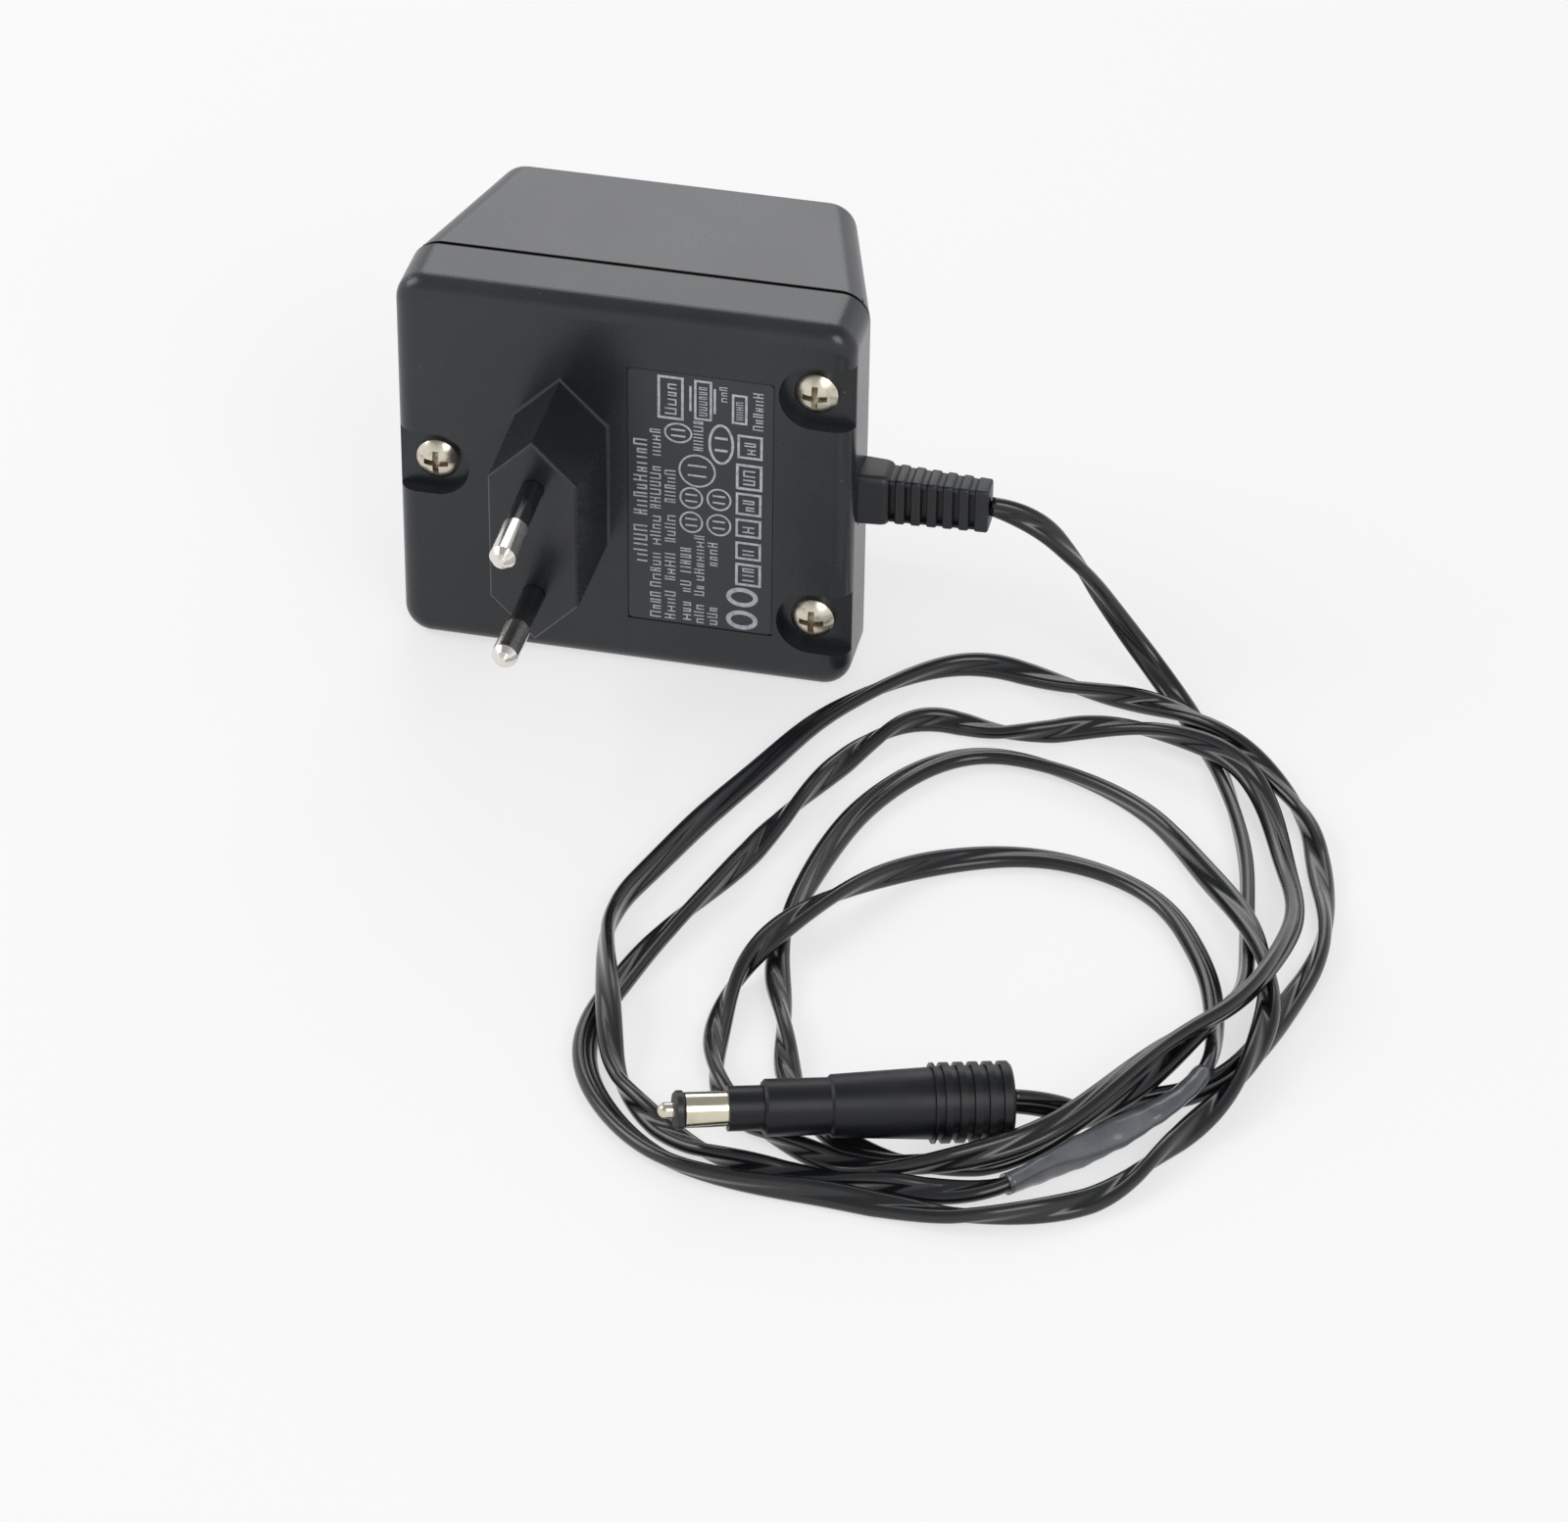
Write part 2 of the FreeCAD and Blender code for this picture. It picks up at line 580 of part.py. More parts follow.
def profile(sketch, corners, domes=()):
    """Closed outline beside the vertical axis; the numbered edges are arcs centred on the axis."""
    spots = [Vector(number(x), number(y), 0) for x, y in corners]
    first = sketch.GeometryCount
    count = len(spots)
    for i, spot in enumerate(spots):
        after = spots[(i + 1) % count]
        if i in domes:
            rise = (after.Length ** 2 - spot.Length ** 2) / (2 * (after.y - spot.y))
            ring = Part.Circle(Vector(0, rise, 0), Vector(0, 0, 1), (spot - Vector(0, rise, 0)).Length)
            start = math.atan2(spot.y - rise, spot.x)
            end = math.atan2(after.y - rise, after.x)
            sketch.addGeometry(Part.ArcOfCircle(ring, start, end), False)
        else:
            sketch.addGeometry(Part.LineSegment(spot, after), False)
    for i in range(count):
        sketch.addConstraint(Sketcher.Constraint("Coincident", first + i, 2, first + (i + 1) % count, 1))
    for i, (x, y) in enumerate(corners):
        hold_point(sketch, first + i, 1, x, y)
        if i in domes:
            sketch.addConstraint(Sketcher.Constraint("DistanceX", -1, 1, first + i, 3, 0.0))


def turned(name, corners, domes=()):
    """Turned piece about its own Z axis."""
    body = new_body(name)
    outline = sketch_on(body, name + "_outline", "XZ_Plane")
    profile(outline, corners, domes)
    revolve(body, outline, name + "_turn")
    return body


def place(item, spot, angle=90.0, lean=None, lean_side=1):
    """Turns a piece about X, by an angle and a lean, and moves it to the spot."""
    tilt = math.degrees(math.atan(number(lean))) * lean_side if lean else 0.0
    item.Placement = Placement(Vector(*[number(value) for value in spot]), Rotation(Vector(1, 0, 0), angle + tilt))
    for axis, value in zip("xyz", spot):
        bind(item, "Placement.Base." + axis, value)
    if lean:
        sign = "+" if lean_side > 0 else "-"
        item.setExpression("Placement.Rotation.Angle", "%g deg %s atan(%s)" % (angle, sign, lean.rule))


def pin_bores():
    """Both pin bores of the boss, each on its pin's leaning axis."""
    bores = []
    start = ENGAGE - size("pin_neck_diameter") / 2
    for side, name in ((1, "upper"), (-1, "lower")):
        bore = doc.addObject("Part::Cylinder", "bore_" + name)
        bore.Radius = number(size("pin_root_diameter") / 2 + size("pin_clearance"))
        bind(bore, "Radius", size("pin_root_diameter") / 2 + size("pin_clearance"))
        bore.Height = number(size("boss_height") * 2)
        bind(bore, "Height", size("boss_height") * 2)
        place(bore, (-size("boss_offset"), start, MID + pin_spread(start) * side), -90.0, PIN_SLOPE, side)
        bores.append(bore)
    both = doc.addObject("Part::MultiFuse", "bores")
    both.Shapes = bores
    return both


def make_pins():
    """Mains pins with their sleeves, which lean towards each other."""
    pieces = []
    for side, name in ((1, "upper"), (-1, "lower")):
        radius = size("pin_diameter") / 2
        root = size("pin_root_diameter") / 2
        neck = size("pin_neck_diameter") / 2
        tail = -(INNER_FACE + size("pin_tail") - ENGAGE)
        sleeve_end = size("sleeve_length") + size("sleeve_clearance")
        shoulder = sleeve_end + size("sleeve_clearance")
        chamfer = size("pin_chamfer")
        pin = turned("mains_pin_" + name, [
            (ZERO, tail), (root, tail), (root, ZERO), (neck, ZERO), (neck, shoulder), (radius, shoulder),
            (radius, size("pin_length") - chamfer), (radius - chamfer * 0.45, size("pin_length") - chamfer * 0.35),
            (radius - chamfer * 0.95, size("pin_length")), (ZERO, size("pin_length")),
        ])
        outer = size("sleeve_diameter") / 2
        sleeve = turned("pin_sleeve_" + name, [
            (neck, size("sleeve_clearance")), (outer, size("sleeve_clearance")), (outer, sleeve_end),
            (neck, sleeve_end),
        ])
        for piece in (pin, sleeve):
            rise = MID + size("pin_root_spacing") / 2 * side
            place(piece, (-size("boss_offset"), ENGAGE, rise), 90.0, PIN_SLOPE, side)
        pieces += [pin, sleeve]
    return pieces


def make_screws():
    """Domed screws with a cross recess; their heads sit on the recess floors."""
    screws = []
    head = size("head_diameter") / 2
    shank = size("screw_core") / 2 - size("shank_clearance")
    reach = SEAT - (PARTING + size("pilot_depth") - size("screw_gap"))
    for name, (x, rise) in SCREWS.items():
        screw = turned("cover_screw_" + name, [
            (ZERO, reach), (shank, reach + shank), (shank, ZERO), (head, ZERO), (head, size("head_edge")),
            (ZERO, size("head_height")),
        ], domes=(4,))
        cross = sketch_on(screw, "cross_" + name, "XY_Plane", size("head_height"))
        arm = size("cross_length") / 2
        half = size("cross_width") / 2
        polygon(cross, [
            (arm, -half), (arm, half), (half, half), (half, arm), (-half, arm), (-half, half), (-arm, half),
            (-arm, -half), (-half, -half), (-half, -arm), (half, -arm), (half, -half),
        ])
        pocket(screw, cross, "cross_cut_" + name, size("cross_depth"))
        place(screw, (x, SEAT, MID + rise))
        screws.append(screw)
    return screws


def make_label():
    """Rating label in its shallow recess."""
    body = new_body("rating_label")
    across = size("label_left") + size("label_width") / 2
    sheet_front = FACE + size("label_recess") - size("label_thickness")
    outline = front_sketch(body, "LabelOutline", sheet_front, across, -size("label_drop"))
    centred_rectangle(outline, size("label_width"), size("label_length"))
    film = pad(body, outline, "LabelFilm", size("label_thickness"), True)
    corners = between(sheet_front, FACE + size("label_recess"))
    soften(body, "LabelCorners", film, corners, size("label_corner"))
    return body


# The strain relief lies midway between its front face and the parting line
RELIEF_MID = FACE + (size("relief_front") + size("cover_depth")) / 2
RELIEF_DEPTH = size("cover_depth") - size("relief_front")


def side_sketch(body, name, across):
    """Sketch that looks along -X, at the given distance from the middle, about the strain relief's axis."""
    return sketch_on(body, name, "YZ_Plane", across, (RELIEF_MID, MID))


def make_strain_relief():
    """Foot behind the wall, block outside it and a tapered tail with slots."""
    body = new_body("strain_relief")
    half_depth = RELIEF_DEPTH / 2
    half_height = size("relief_height") / 2
    margin = size("relief_foot_margin")
    foot = side_sketch(body, "Foot", INNER_WIDTH / 2 - size("relief_foot"))
    rectangle(foot, -half_depth - margin, half_depth, -half_height - margin, half_height + margin)
    pad(body, foot, "FootPad", size("relief_foot"))
    block = side_sketch(body, "Block", INNER_WIDTH / 2)
    centred_rectangle(block, RELIEF_DEPTH, size("relief_height"))
    pad(body, block, "BlockPad", size("wall") + size("relief_block"))
    block_end = size("body_width") / 2 + size("relief_block")
    near = side_sketch(body, "TailStart", block_end)
    centred_rectangle(near, RELIEF_DEPTH - size("relief_step") * 2, size("relief_height") - size("relief_step") * 2)
    far = side_sketch(body, "TailEnd", size("body_width") / 2 + size("relief_length"))
    centred_rectangle(far, size("relief_end_depth"), size("relief_end_height"))
    tail = loft(body, "AdditiveLoft", "Tail", near, far)
    end = number(size("body_width") / 2 + size("relief_length"))
    start = number(block_end)

    def lengthwise(edge):
        box = edge.BoundBox
        return abs(box.XMin - start) < 1e-3 and abs(box.XMax - end) < 1e-3
    soften(body, "TailEdges", tail, lengthwise, size("relief_edge"))
    front = front_sketch(body, "FrontSlots", RELIEF_MID - RELIEF_DEPTH)
    back = front_sketch(body, "BackSlots", RELIEF_MID + RELIEF_DEPTH)
    inner = size("relief_end_height") / 2 - size("slot_margin")
    for i in range(SLOTS):
        left = block_end + size("slot_pitch") * i + size("slot_margin") / 2
        rectangle(front, left, left + size("slot_width"), -inner, inner)
        rectangle(back, left, left + size("slot_width"), -size("relief_height"), size("relief_height"))
    pocket(body, front, "FrontCuts", RELIEF_DEPTH - size("slot_web") / 2)
    pocket(body, back, "BackCuts", RELIEF_DEPTH - size("slot_web") / 2, True)
    return body


def make_core():
    """Iron core: E-shaped stack with its legs up, closed by a straight stack."""
    half = CORE_WIDTH / 2
    leg = CORE_LEG
    window = CORE_WINDOW / 2
    e_stack = new_body("core_e_stack")
    outline = front_sketch(e_stack, "EOutline", CORE_FRONT)
    polygon(outline, [
        (-half, -window - leg), (half, -window - leg), (half, window), (half - leg, window),
        (half - leg, -window), (leg, -window), (leg, window), (-leg, window), (-leg, -window),
        (-half + leg, -window), (-half + leg, window), (-half, window),
    ])
    pad(e_stack, outline, "EStack", CORE_STACK, True)
    i_stack = new_body("core_i_stack")
    outline = front_sketch(i_stack, "IOutline", CORE_FRONT)
    rectangle(outline, -half, half, window, window + leg)
    pad(i_stack, outline, "IStack", CORE_STACK, True)
    return [e_stack, i_stack]


def coil_sketch(body, name, rise):
    """Sketch that looks down on the coil, about the middle leg of the core."""
    return sketch_on(body, name, "XY_Plane", MID + rise, (ZERO, (CORE_FRONT + CORE_BACK) / 2))


def ring(body, name, rise, height, outer, inner):
    outline = coil_sketch(body, name, rise)
    centred_rectangle(outline, outer[0], outer[1])
    centred_rectangle(outline, inner[0], inner[1])
    return pad(body, outline, name + "Pad", height)


def upright(width):
    """Upright edges that lie at half the width from the middle."""
    limit = number(width) / 2
    return lambda edge: edge.BoundBox.XLength < 1e-4 and abs(abs(edge.CenterOfMass.x) - limit) < 1e-4 and (
        edge.BoundBox.YLength < 1e-4)


def make_coil():
    """Winding former with three flanges, a winding with tape round it in each chamber."""
    gap = size("bobbin_clearance")
    wall = size("bobbin_wall")
    hole = (CORE_LEG * 2 + gap * 2, CORE_STACK + gap * 2)
    tube = (hole[0] + wall * 2, hole[1] + wall * 2)
    window_width = CORE_WIDTH / 2 - CORE_LEG * 2
    flange = (CORE_LEG * 2 + window_width * 2 - gap * 2, CORE_STACK + size("coil_build") * 2)
    low = -CORE_WINDOW / 2 + gap
    bobbin = new_body("bobbin")
    ring(bobbin, "Former", low, CORE_WINDOW - gap * 2, tube, hole)
    for name, rise in (("LowFlange", low), ("MidFlange", -wall / 2), ("TopFlange", -low - wall)):
        ring(bobbin, name, rise, wall, flange, hole)
    pieces = [bobbin]
    chamber = -low - wall - wall / 2
    tape = size("tape_thickness") * 2
    drop = size("winding_inset") * 2
    wound = (flange[0] - drop - tape, flange[1] - drop - tape)
    taped = (flange[0] - drop, flange[1] - drop)
    bend = size("winding_corner")
    for name, rise in (("primary", low + wall), ("secondary", wall / 2)):
        winding = new_body(name + "_winding")
        turns = ring(winding, name.title() + "Turns", rise, chamber, wound, tube)
        soften(winding, name.title() + "Bends", turns, upright(wound[0]), bend)
        wrap = new_body("winding_tape_" + name)
        band = ring(wrap, name.title() + "Tape", rise, chamber, taped, wound)
        inner = soften(wrap, name.title() + "TapeInner", band, upright(wound[0]), bend)
        soften(wrap, name.title() + "TapeOuter", inner, upright(taped[0]), bend + size("tape_thickness"))
        pieces += [winding, wrap]
    return pieces


FUSE_DEPTH = COIL_FRONT - size("fuse_diameter") / 2
FUSE_RISE = -CORE_WINDOW / 4


def make_fuse():
    """Thermal fuse that lies across the front of the primary winding."""
    fuse = doc.addObject("Part::Cylinder", "thermal_fuse")
    fuse.Label = "thermal_fuse"
    fuse.Radius = number(size("fuse_diameter") / 2)
    bind(fuse, "Radius", size("fuse_diameter") / 2)
    fuse.Height = number(size("fuse_length"))
    bind(fuse, "Height", size("fuse_length"))
    spot = (-size("fuse_length") / 2, FUSE_DEPTH, MID + FUSE_RISE)
    fuse.Placement = Placement(Vector(*[number(value) for value in spot]), Rotation(Vector(0, 1, 0), 90))
    for axis, value in zip("xyz", spot):
        bind(fuse, "Placement.Base." + axis, value)
    return fuse


def bent_path(points, share):
    """Straight runs joined by tangent arcs: a list of (run, edge), arcs counted with the run before them."""
    edges = []
    radii = []
    here = points[0]
    for i in range(1, len(points) - 1):
        back = points[i - 1] - points[i]
        ahead = points[i + 1] - points[i]
        cut = share * min(back.Length, ahead.Length)
        back.normalize()
        ahead.normalize()
        turn = math.pi - back.getAngle(ahead)
        radius = cut / math.tan(turn / 2)
        bisector = back + ahead
        bisector.normalize()
        start = points[i] + back * cut
        end = points[i] + ahead * cut
        nearest = points[i] + bisector * (radius / math.cos(turn / 2) - radius)
        edges.append((i - 1, Part.LineSegment(here, start).toShape()))
        edges.append((i - 1, Part.Arc(start, nearest, end).toShape()))
        radii.append(radius)
        here = end
    edges.append((len(points) - 2, Part.LineSegment(here, points[-1]).toShape()))
    return edges, radii


def tube(name, edges, diameter):
    """Round tube along the edges."""
    first = edges[0]
    start = first.firstVertex().Point
    along = first.tangentAt(first.FirstParameter)
    rim = Part.Wire(Part.Circle(start, along, diameter / 2).toShape())
    solid = Part.Wire(edges).makePipeShell([rim], True, False)
    length = sum(edge.Length for edge in edges)
    expected = math.pi * diameter ** 2 / 4 * length
    print("%s: length %.1f, volume against section times length %.4f" % (name, length, solid.Volume / expected))
    if abs(solid.Volume / expected - 1) > 0.01:
        raise RuntimeError("%s is not a plain tube" % name)
    item = doc.addObject("Part::Feature", name)
    item.Label = name
    item.Shape = solid
    return item


def lead(name, stops):
    """Insulated lead through points given as across, depth, rise above the middle."""
    middle = number(MID)
    points = [Vector(number(x), number(y), middle + number(z)) for x, y, z in stops]
    edges, _ = bent_path(points, LEAD_SHARE)
    return tube(name, [edge for _, edge in edges], number(size("lead_diameter")))


def make_leads():
    """Leads from the pins through the fuse to the primary, and from the secondary to the cord."""
    radius = size("lead_diameter") / 2
    gap = size("lead_clearance")
    on_tail = INNER_FACE + size("pin_tail") + radius + gap
    on_tape = COIL_FRONT + size("winding_inset") - radius - gap
    tail_rise = pin_spread(INNER_FACE)
    left = -size("boss_offset") - size("pin_neck_diameter") / 2
    fuse_end = size("fuse_length") / 2
    window = CORE_WINDOW / 2
    side = CORE_LEG * 2
    foot = INNER_WIDTH / 2 - size("relief_foot")
    pair = size("lead_pair_pitch") / 2
    bow = size("lead_bow")
    return [
        lead("primary_lead_upper", [
            (left, on_tail, tail_rise), (ZERO, on_tail, tail_rise), (fuse_end + bow * 0.8, on_tail - gap, window / 2),
            (fuse_end + bow * 1.2, FUSE_DEPTH, ZERO), (fuse_end + bow, FUSE_DEPTH, FUSE_RISE / 2),
            (fuse_end + bow / 2, FUSE_DEPTH, FUSE_RISE), (fuse_end, FUSE_DEPTH, FUSE_RISE),
        ]),
        lead("primary_lead_fuse", [
            (-fuse_end, FUSE_DEPTH, FUSE_RISE), (-fuse_end - bow * 0.6, FUSE_DEPTH, FUSE_RISE),
            (-side / 2, on_tape, FUSE_RISE / 2), (-side + bow * 0.4, on_tape, FUSE_RISE / 2),
        ]),
        lead("primary_lead_lower", [
            (left, on_tail, -tail_rise), (ZERO, on_tail, -tail_rise), (side / 2, on_tape, bow * 0.2 - tail_rise),
            (side - bow * 0.4, on_tape, bow * 0.2 - tail_rise),
        ]),
        lead("secondary_lead_upper", [
            (side - bow * 0.8, on_tape, window / 2 + bow * 0.2), (side - bow * 0.2, on_tape, window / 2),
            (side + bow, (on_tape + RELIEF_MID) / 2, window / 4), (foot - bow, RELIEF_MID, pair),
            (foot, RELIEF_MID, pair),
        ]),
        lead("secondary_lead_lower", [
            (side - bow * 0.8, on_tape, window / 4), (side - bow * 0.2, on_tape, window / 4 - bow * 0.2),
            (side + bow, (on_tape + RELIEF_MID) / 2, -pair), (foot - bow, RELIEF_MID, -pair),
            (foot, RELIEF_MID, -pair),
        ]),
    ]


# The route of the output cord from the strain relief to the plug, as it lies in loops on the floor:
# the long piece, the sleeve over its splice and the short piece
LONG_ROUTE = [
    (55.3, 7.2, 32.3), (62, 7.9, 31), (69, 9.5, 22.4), (75, 11, 12), (82.5, 9, 4), (91, -2, 1.5),
    (97.5, -15, 1.5), (101.5, -31, 1.5), (105, -48, 1.5), (107, -63, 2.3), (104.5, -74, 5.8), (99, -84, 5),
    (93, -96, 5.2), (83.2, -106.6, 2.3), (72, -111.5, 1.5), (60, -111, 1.5), (50, -103, 1.5), (43.5, -86, 1.5),
    (38.5, -68, 1.5), (40.5, -48, 1.5), (46, -24, 1.5), (58, -13, 1.5), (74, -16, 1.5), (88, -25, 1.5),
    (98, -38, 3), (105, -51, 5), (110, -63, 5), (111.5, -75, 5), (108, -90, 2.5), (100, -103, 1.5),
    (92, -115, 1.5), (79, -121, 1.5), (62, -120.8, 1.5), (46, -120.8, 1.5), (31, -117, 1.5),
    (20, -106, 1.5), (16, -92, 1.5), (20, -76, 1.5), (27, -56, 1.5), (33.5, -35, 1.5), (41.5, -14.5, 1.5),
    (50, -6, 1.5), (63, -8, 1.5), (76, -3.5, 2.5), (88, -7, 5), (97, -11, 5), (102.6, -17.5, 3),
    (108, -29.5, 1.5), (111.5, -45, 4), (111, -62, 8.2), (107, -74, 8.2), (100.5, -82.5, 8), (94, -94, 8.3),
    (84.8, -106.2, 6.2), (74, -113, 4.6), (61, -114.4, 1.5), (50, -112, 1.5), (40, -105, 1.5), (35.5, -93, 1.5),
    (34, -79, 1.5), (38, -69.5, 5), (45.5, -55, 4), (57, -43, 1.5), (70, -37, 1.5), (82, -38.5, 1.5),
    (93, -45, 1.5), (100, -58, 1.5), (103.8, -72, 1.5), (105.5, -83, 4.7),
]
SPLICE_ROUTE = [(103, -91, 4.7), (94.6, -100.2, 3.5), (84.7, -110.3, 2.5)]
SHORT_ROUTE = [
    (78, -115.5, 2), (66, -117.4, 1.5), (46, -117.4, 1.5), (33, -112.5, 1.5), (24, -103.5, 1.5), (19.5, -92, 4.5), (16, -80, 4.5), (14, -65, 1.5),
    (17.5, -52, 1.5), (25, -29, 1.5), (34.5, -8.5, 1.5), (45, 5, 1.5), (56, 10, 1.5), (70, 6.5, 1.5),
    (82, 2, 3.5), (91, -3.2, 5), (100, -8.5, 4), (109.5, -18.5, 1.5), (114.5, -36, 1.5), (116, -52, 1.5),
    (113, -68, 1.5), (109, -80, 1.5), (103.5, -87.5, 1.5), (96, -91, 1.5), (89.5, -95.8, 1.5),
    (84.3, -98.8, 5.6), (79.3, -101, 6.8),
]
SLOTS = 6
CORD_SHARE = 0.45
LEAD_SHARE = 0.45


def make_cord():
    """Output cord in two lengths with a sleeve over their splice."""
    route = LONG_ROUTE + SPLICE_ROUTE + SHORT_ROUTE
    edges, radii = bent_path([Vector(*spot) for spot in route], CORD_SHARE)
    print("cord radii", " ".join("%.1f" % radius for radius in radii))
    joins = (len(LONG_ROUTE) - 1, len(LONG_ROUTE + SPLICE_ROUTE) - 1)
    groups = [[], [], []]
    order = 0
    for run, edge in edges:
        straight = edge.Curve.TypeId == "Part::GeomLine"
        if straight and order < 2 and run == joins[order]:
            start = edge.firstVertex().Point
            end = edge.lastVertex().Point
            middle = (start + end) / 2
            groups[order].append(Part.LineSegment(start, middle).toShape())
            order += 1
            groups[order].append(Part.LineSegment(middle, end).toShape())
        else:
            groups[order].append(edge)
    print("cord length %.1f" % sum(edge.Length for group in groups for edge in group))
    cord = number(size("cord_diameter"))
    return [
        tube("output_cord_long", groups[0], cord),
        tube("repair_sleeve", groups[1], number(size("splice_diameter"))),
        tube("output_cord_short", groups[2], cord),
    ]


PLUG_END = (79.3, -101.0, 6.8)
PLUG_AIM = (33.3, -117.4, 9.6)


def make_plug():
    """Coaxial plug, each piece turned about its own Z axis, which runs from the cord to the tip."""
    grip = size("grip_diameter") / 2
    groove = grip - size("grip_groove_depth")
    bevel = size("plug_edge")
    grip_end = size("grip_length")
    body_end = grip_end + size("plug_body_length")
    step_end = body_end + size("plug_step_length")
    neck_end = step_end + size("plug_neck_length")
    barrel_end = neck_end + size("barrel_length")
    ring_end = barrel_end + size("tip_ring_length")
    tail_start = neck_end - size("barrel_tail")
    barrel = size("barrel_diameter") / 2
    barrel_tail = size("barrel_tail_diameter") / 2
    bore = size("barrel_bore") / 2
    contact = size("contact_diameter") / 2
    corners = [(ZERO, ZERO), (grip - bevel, ZERO), (grip, bevel)]
    for i in range(GRIP_GROOVES):
        low = size("grip_groove_pitch") * (i + 1) - size("grip_groove_width") / 2
        high = low + size("grip_groove_width")
        corners += [(grip, low), (groove, low), (groove, high), (grip, high)]
    step = size("plug_step_diameter") / 2
    neck = size("plug_neck_diameter") / 2
    corners += [
        (grip, grip_end), (size("plug_root_diameter") / 2, grip_end),
        (size("plug_front_diameter") / 2, body_end - bevel), (step, body_end), (step, step_end - bevel),
        (step - bevel, step_end), (neck, step_end), (neck, neck_end), (barrel_tail, neck_end),
        (barrel_tail, tail_start), (ZERO, tail_start),
    ]
    pieces = [turned("plug_body", corners)]
    pieces.append(turned("plug_barrel", [
        (bore, tail_start), (barrel_tail, tail_start), (barrel_tail, neck_end), (barrel, neck_end),
        (barrel, barrel_end), (bore, barrel_end),
    ]))
    tip_ring = size("tip_ring_diameter") / 2
    pieces.append(turned("plug_tip_ring", [
        (contact, tail_start), (bore, tail_start), (bore, barrel_end), (tip_ring - bevel, barrel_end),
        (tip_ring, barrel_end + bevel), (tip_ring, ring_end - bevel), (tip_ring - bevel, ring_end),
        (contact, ring_end),
    ]))
    pieces.append(turned("plug_contact", [
        (ZERO, tail_start), (contact, tail_start), (contact, ring_end + size("contact_length") - contact),
        (ZERO, ring_end + size("contact_length")),
    ], domes=(2,)))
    aim = Vector(*PLUG_AIM) - Vector(*PLUG_END)
    for piece in pieces:
        piece.Placement = Placement(Vector(*PLUG_END), Rotation(Vector(0, 0, 1), aim))
    return pieces


GRIP_GROOVES = 5

front_cover = doc.addObject("Part::Cut", "front_cover")
front_cover.Label = "front_cover"
front_cover.Base = make_front_cover()
front_cover.Tool = pin_bores()
NODES = [make_rear_housing(), front_cover, make_label(), make_strain_relief(), make_fuse()]
NODES += make_pins() + make_screws() + make_core() + make_coil() + make_leads() + make_cord() + make_plug()
doc.recompute()

faults = [item.Name for item in doc.Objects if "Invalid" in item.State or "Error" in item.State]
for node in NODES:
    if node.Shape.isNull() or not node.Shape.isValid() or len(node.Shape.Solids) != 1:
        faults.append(node.Label)
if faults:
    raise RuntimeError("failed: " + ", ".join(faults))
os.makedirs("parts", exist_ok=True)
for node in NODES:
    node.Shape.exportStep("parts/%s.step" % node.Label)
print("nodes %d, volume %.0f" % (len(NODES), sum(node.Shape.Volume for node in NODES)))
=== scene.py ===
"""Looks of the plug-in power supply: finishes, label print, twin cord, floor, light and camera.

The mains pins point to -Y and the cord leaves to +X.
"""
import math
import random

import bmesh
import bpy
from mathutils import Matrix, Vector


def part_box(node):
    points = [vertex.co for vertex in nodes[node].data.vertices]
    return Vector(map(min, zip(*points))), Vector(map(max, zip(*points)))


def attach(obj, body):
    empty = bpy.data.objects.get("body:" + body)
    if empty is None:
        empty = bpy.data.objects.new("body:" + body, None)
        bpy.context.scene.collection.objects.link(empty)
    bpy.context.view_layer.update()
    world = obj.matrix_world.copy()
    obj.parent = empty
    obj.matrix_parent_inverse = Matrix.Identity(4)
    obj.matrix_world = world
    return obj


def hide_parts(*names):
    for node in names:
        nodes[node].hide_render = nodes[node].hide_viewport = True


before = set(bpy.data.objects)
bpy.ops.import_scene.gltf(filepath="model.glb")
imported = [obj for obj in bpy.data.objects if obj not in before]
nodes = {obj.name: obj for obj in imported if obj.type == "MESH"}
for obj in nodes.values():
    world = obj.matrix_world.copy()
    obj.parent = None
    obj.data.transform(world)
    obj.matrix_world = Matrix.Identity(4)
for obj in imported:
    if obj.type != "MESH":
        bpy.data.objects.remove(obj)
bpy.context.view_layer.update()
MM = 0.001


# ---------------------------------------------------------------- camera
# focal length and width of the photograph, in its pixels
PHOTO_FOCAL = 6000.0
PHOTO_WIDTH = 1600.0
SENSOR_WIDTH = 36.0
# place in mm, and directions
CAMERA_SPOT = (178.33, -726.43, 523.55)
CAMERA_RIGHT = (0.97676, 0.21403, 0.01138)
CAMERA_FORWARD = (-0.16669, 0.79193, -0.58742)
CAMERA_NEAR = 0.05
CAMERA_FAR = 20.0


def add_camera():
    data = bpy.data.cameras.new("photo_camera")
    data.sensor_width = SENSOR_WIDTH
    data.lens = PHOTO_FOCAL / PHOTO_WIDTH * SENSOR_WIDTH
    data.clip_start = CAMERA_NEAR
    data.clip_end = CAMERA_FAR
    camera = bpy.data.objects.new("photo_camera", data)
    right = Vector(CAMERA_RIGHT).normalized()
    back = -Vector(CAMERA_FORWARD).normalized()
    up = back.cross(right).normalized()
    right = up.cross(back)
    turn = Matrix((right, up, back)).transposed().to_4x4()
    camera.matrix_world = Matrix.Translation(Vector(CAMERA_SPOT) * MM) @ turn
    bpy.context.scene.collection.objects.link(camera)
    bpy.context.scene.camera = camera


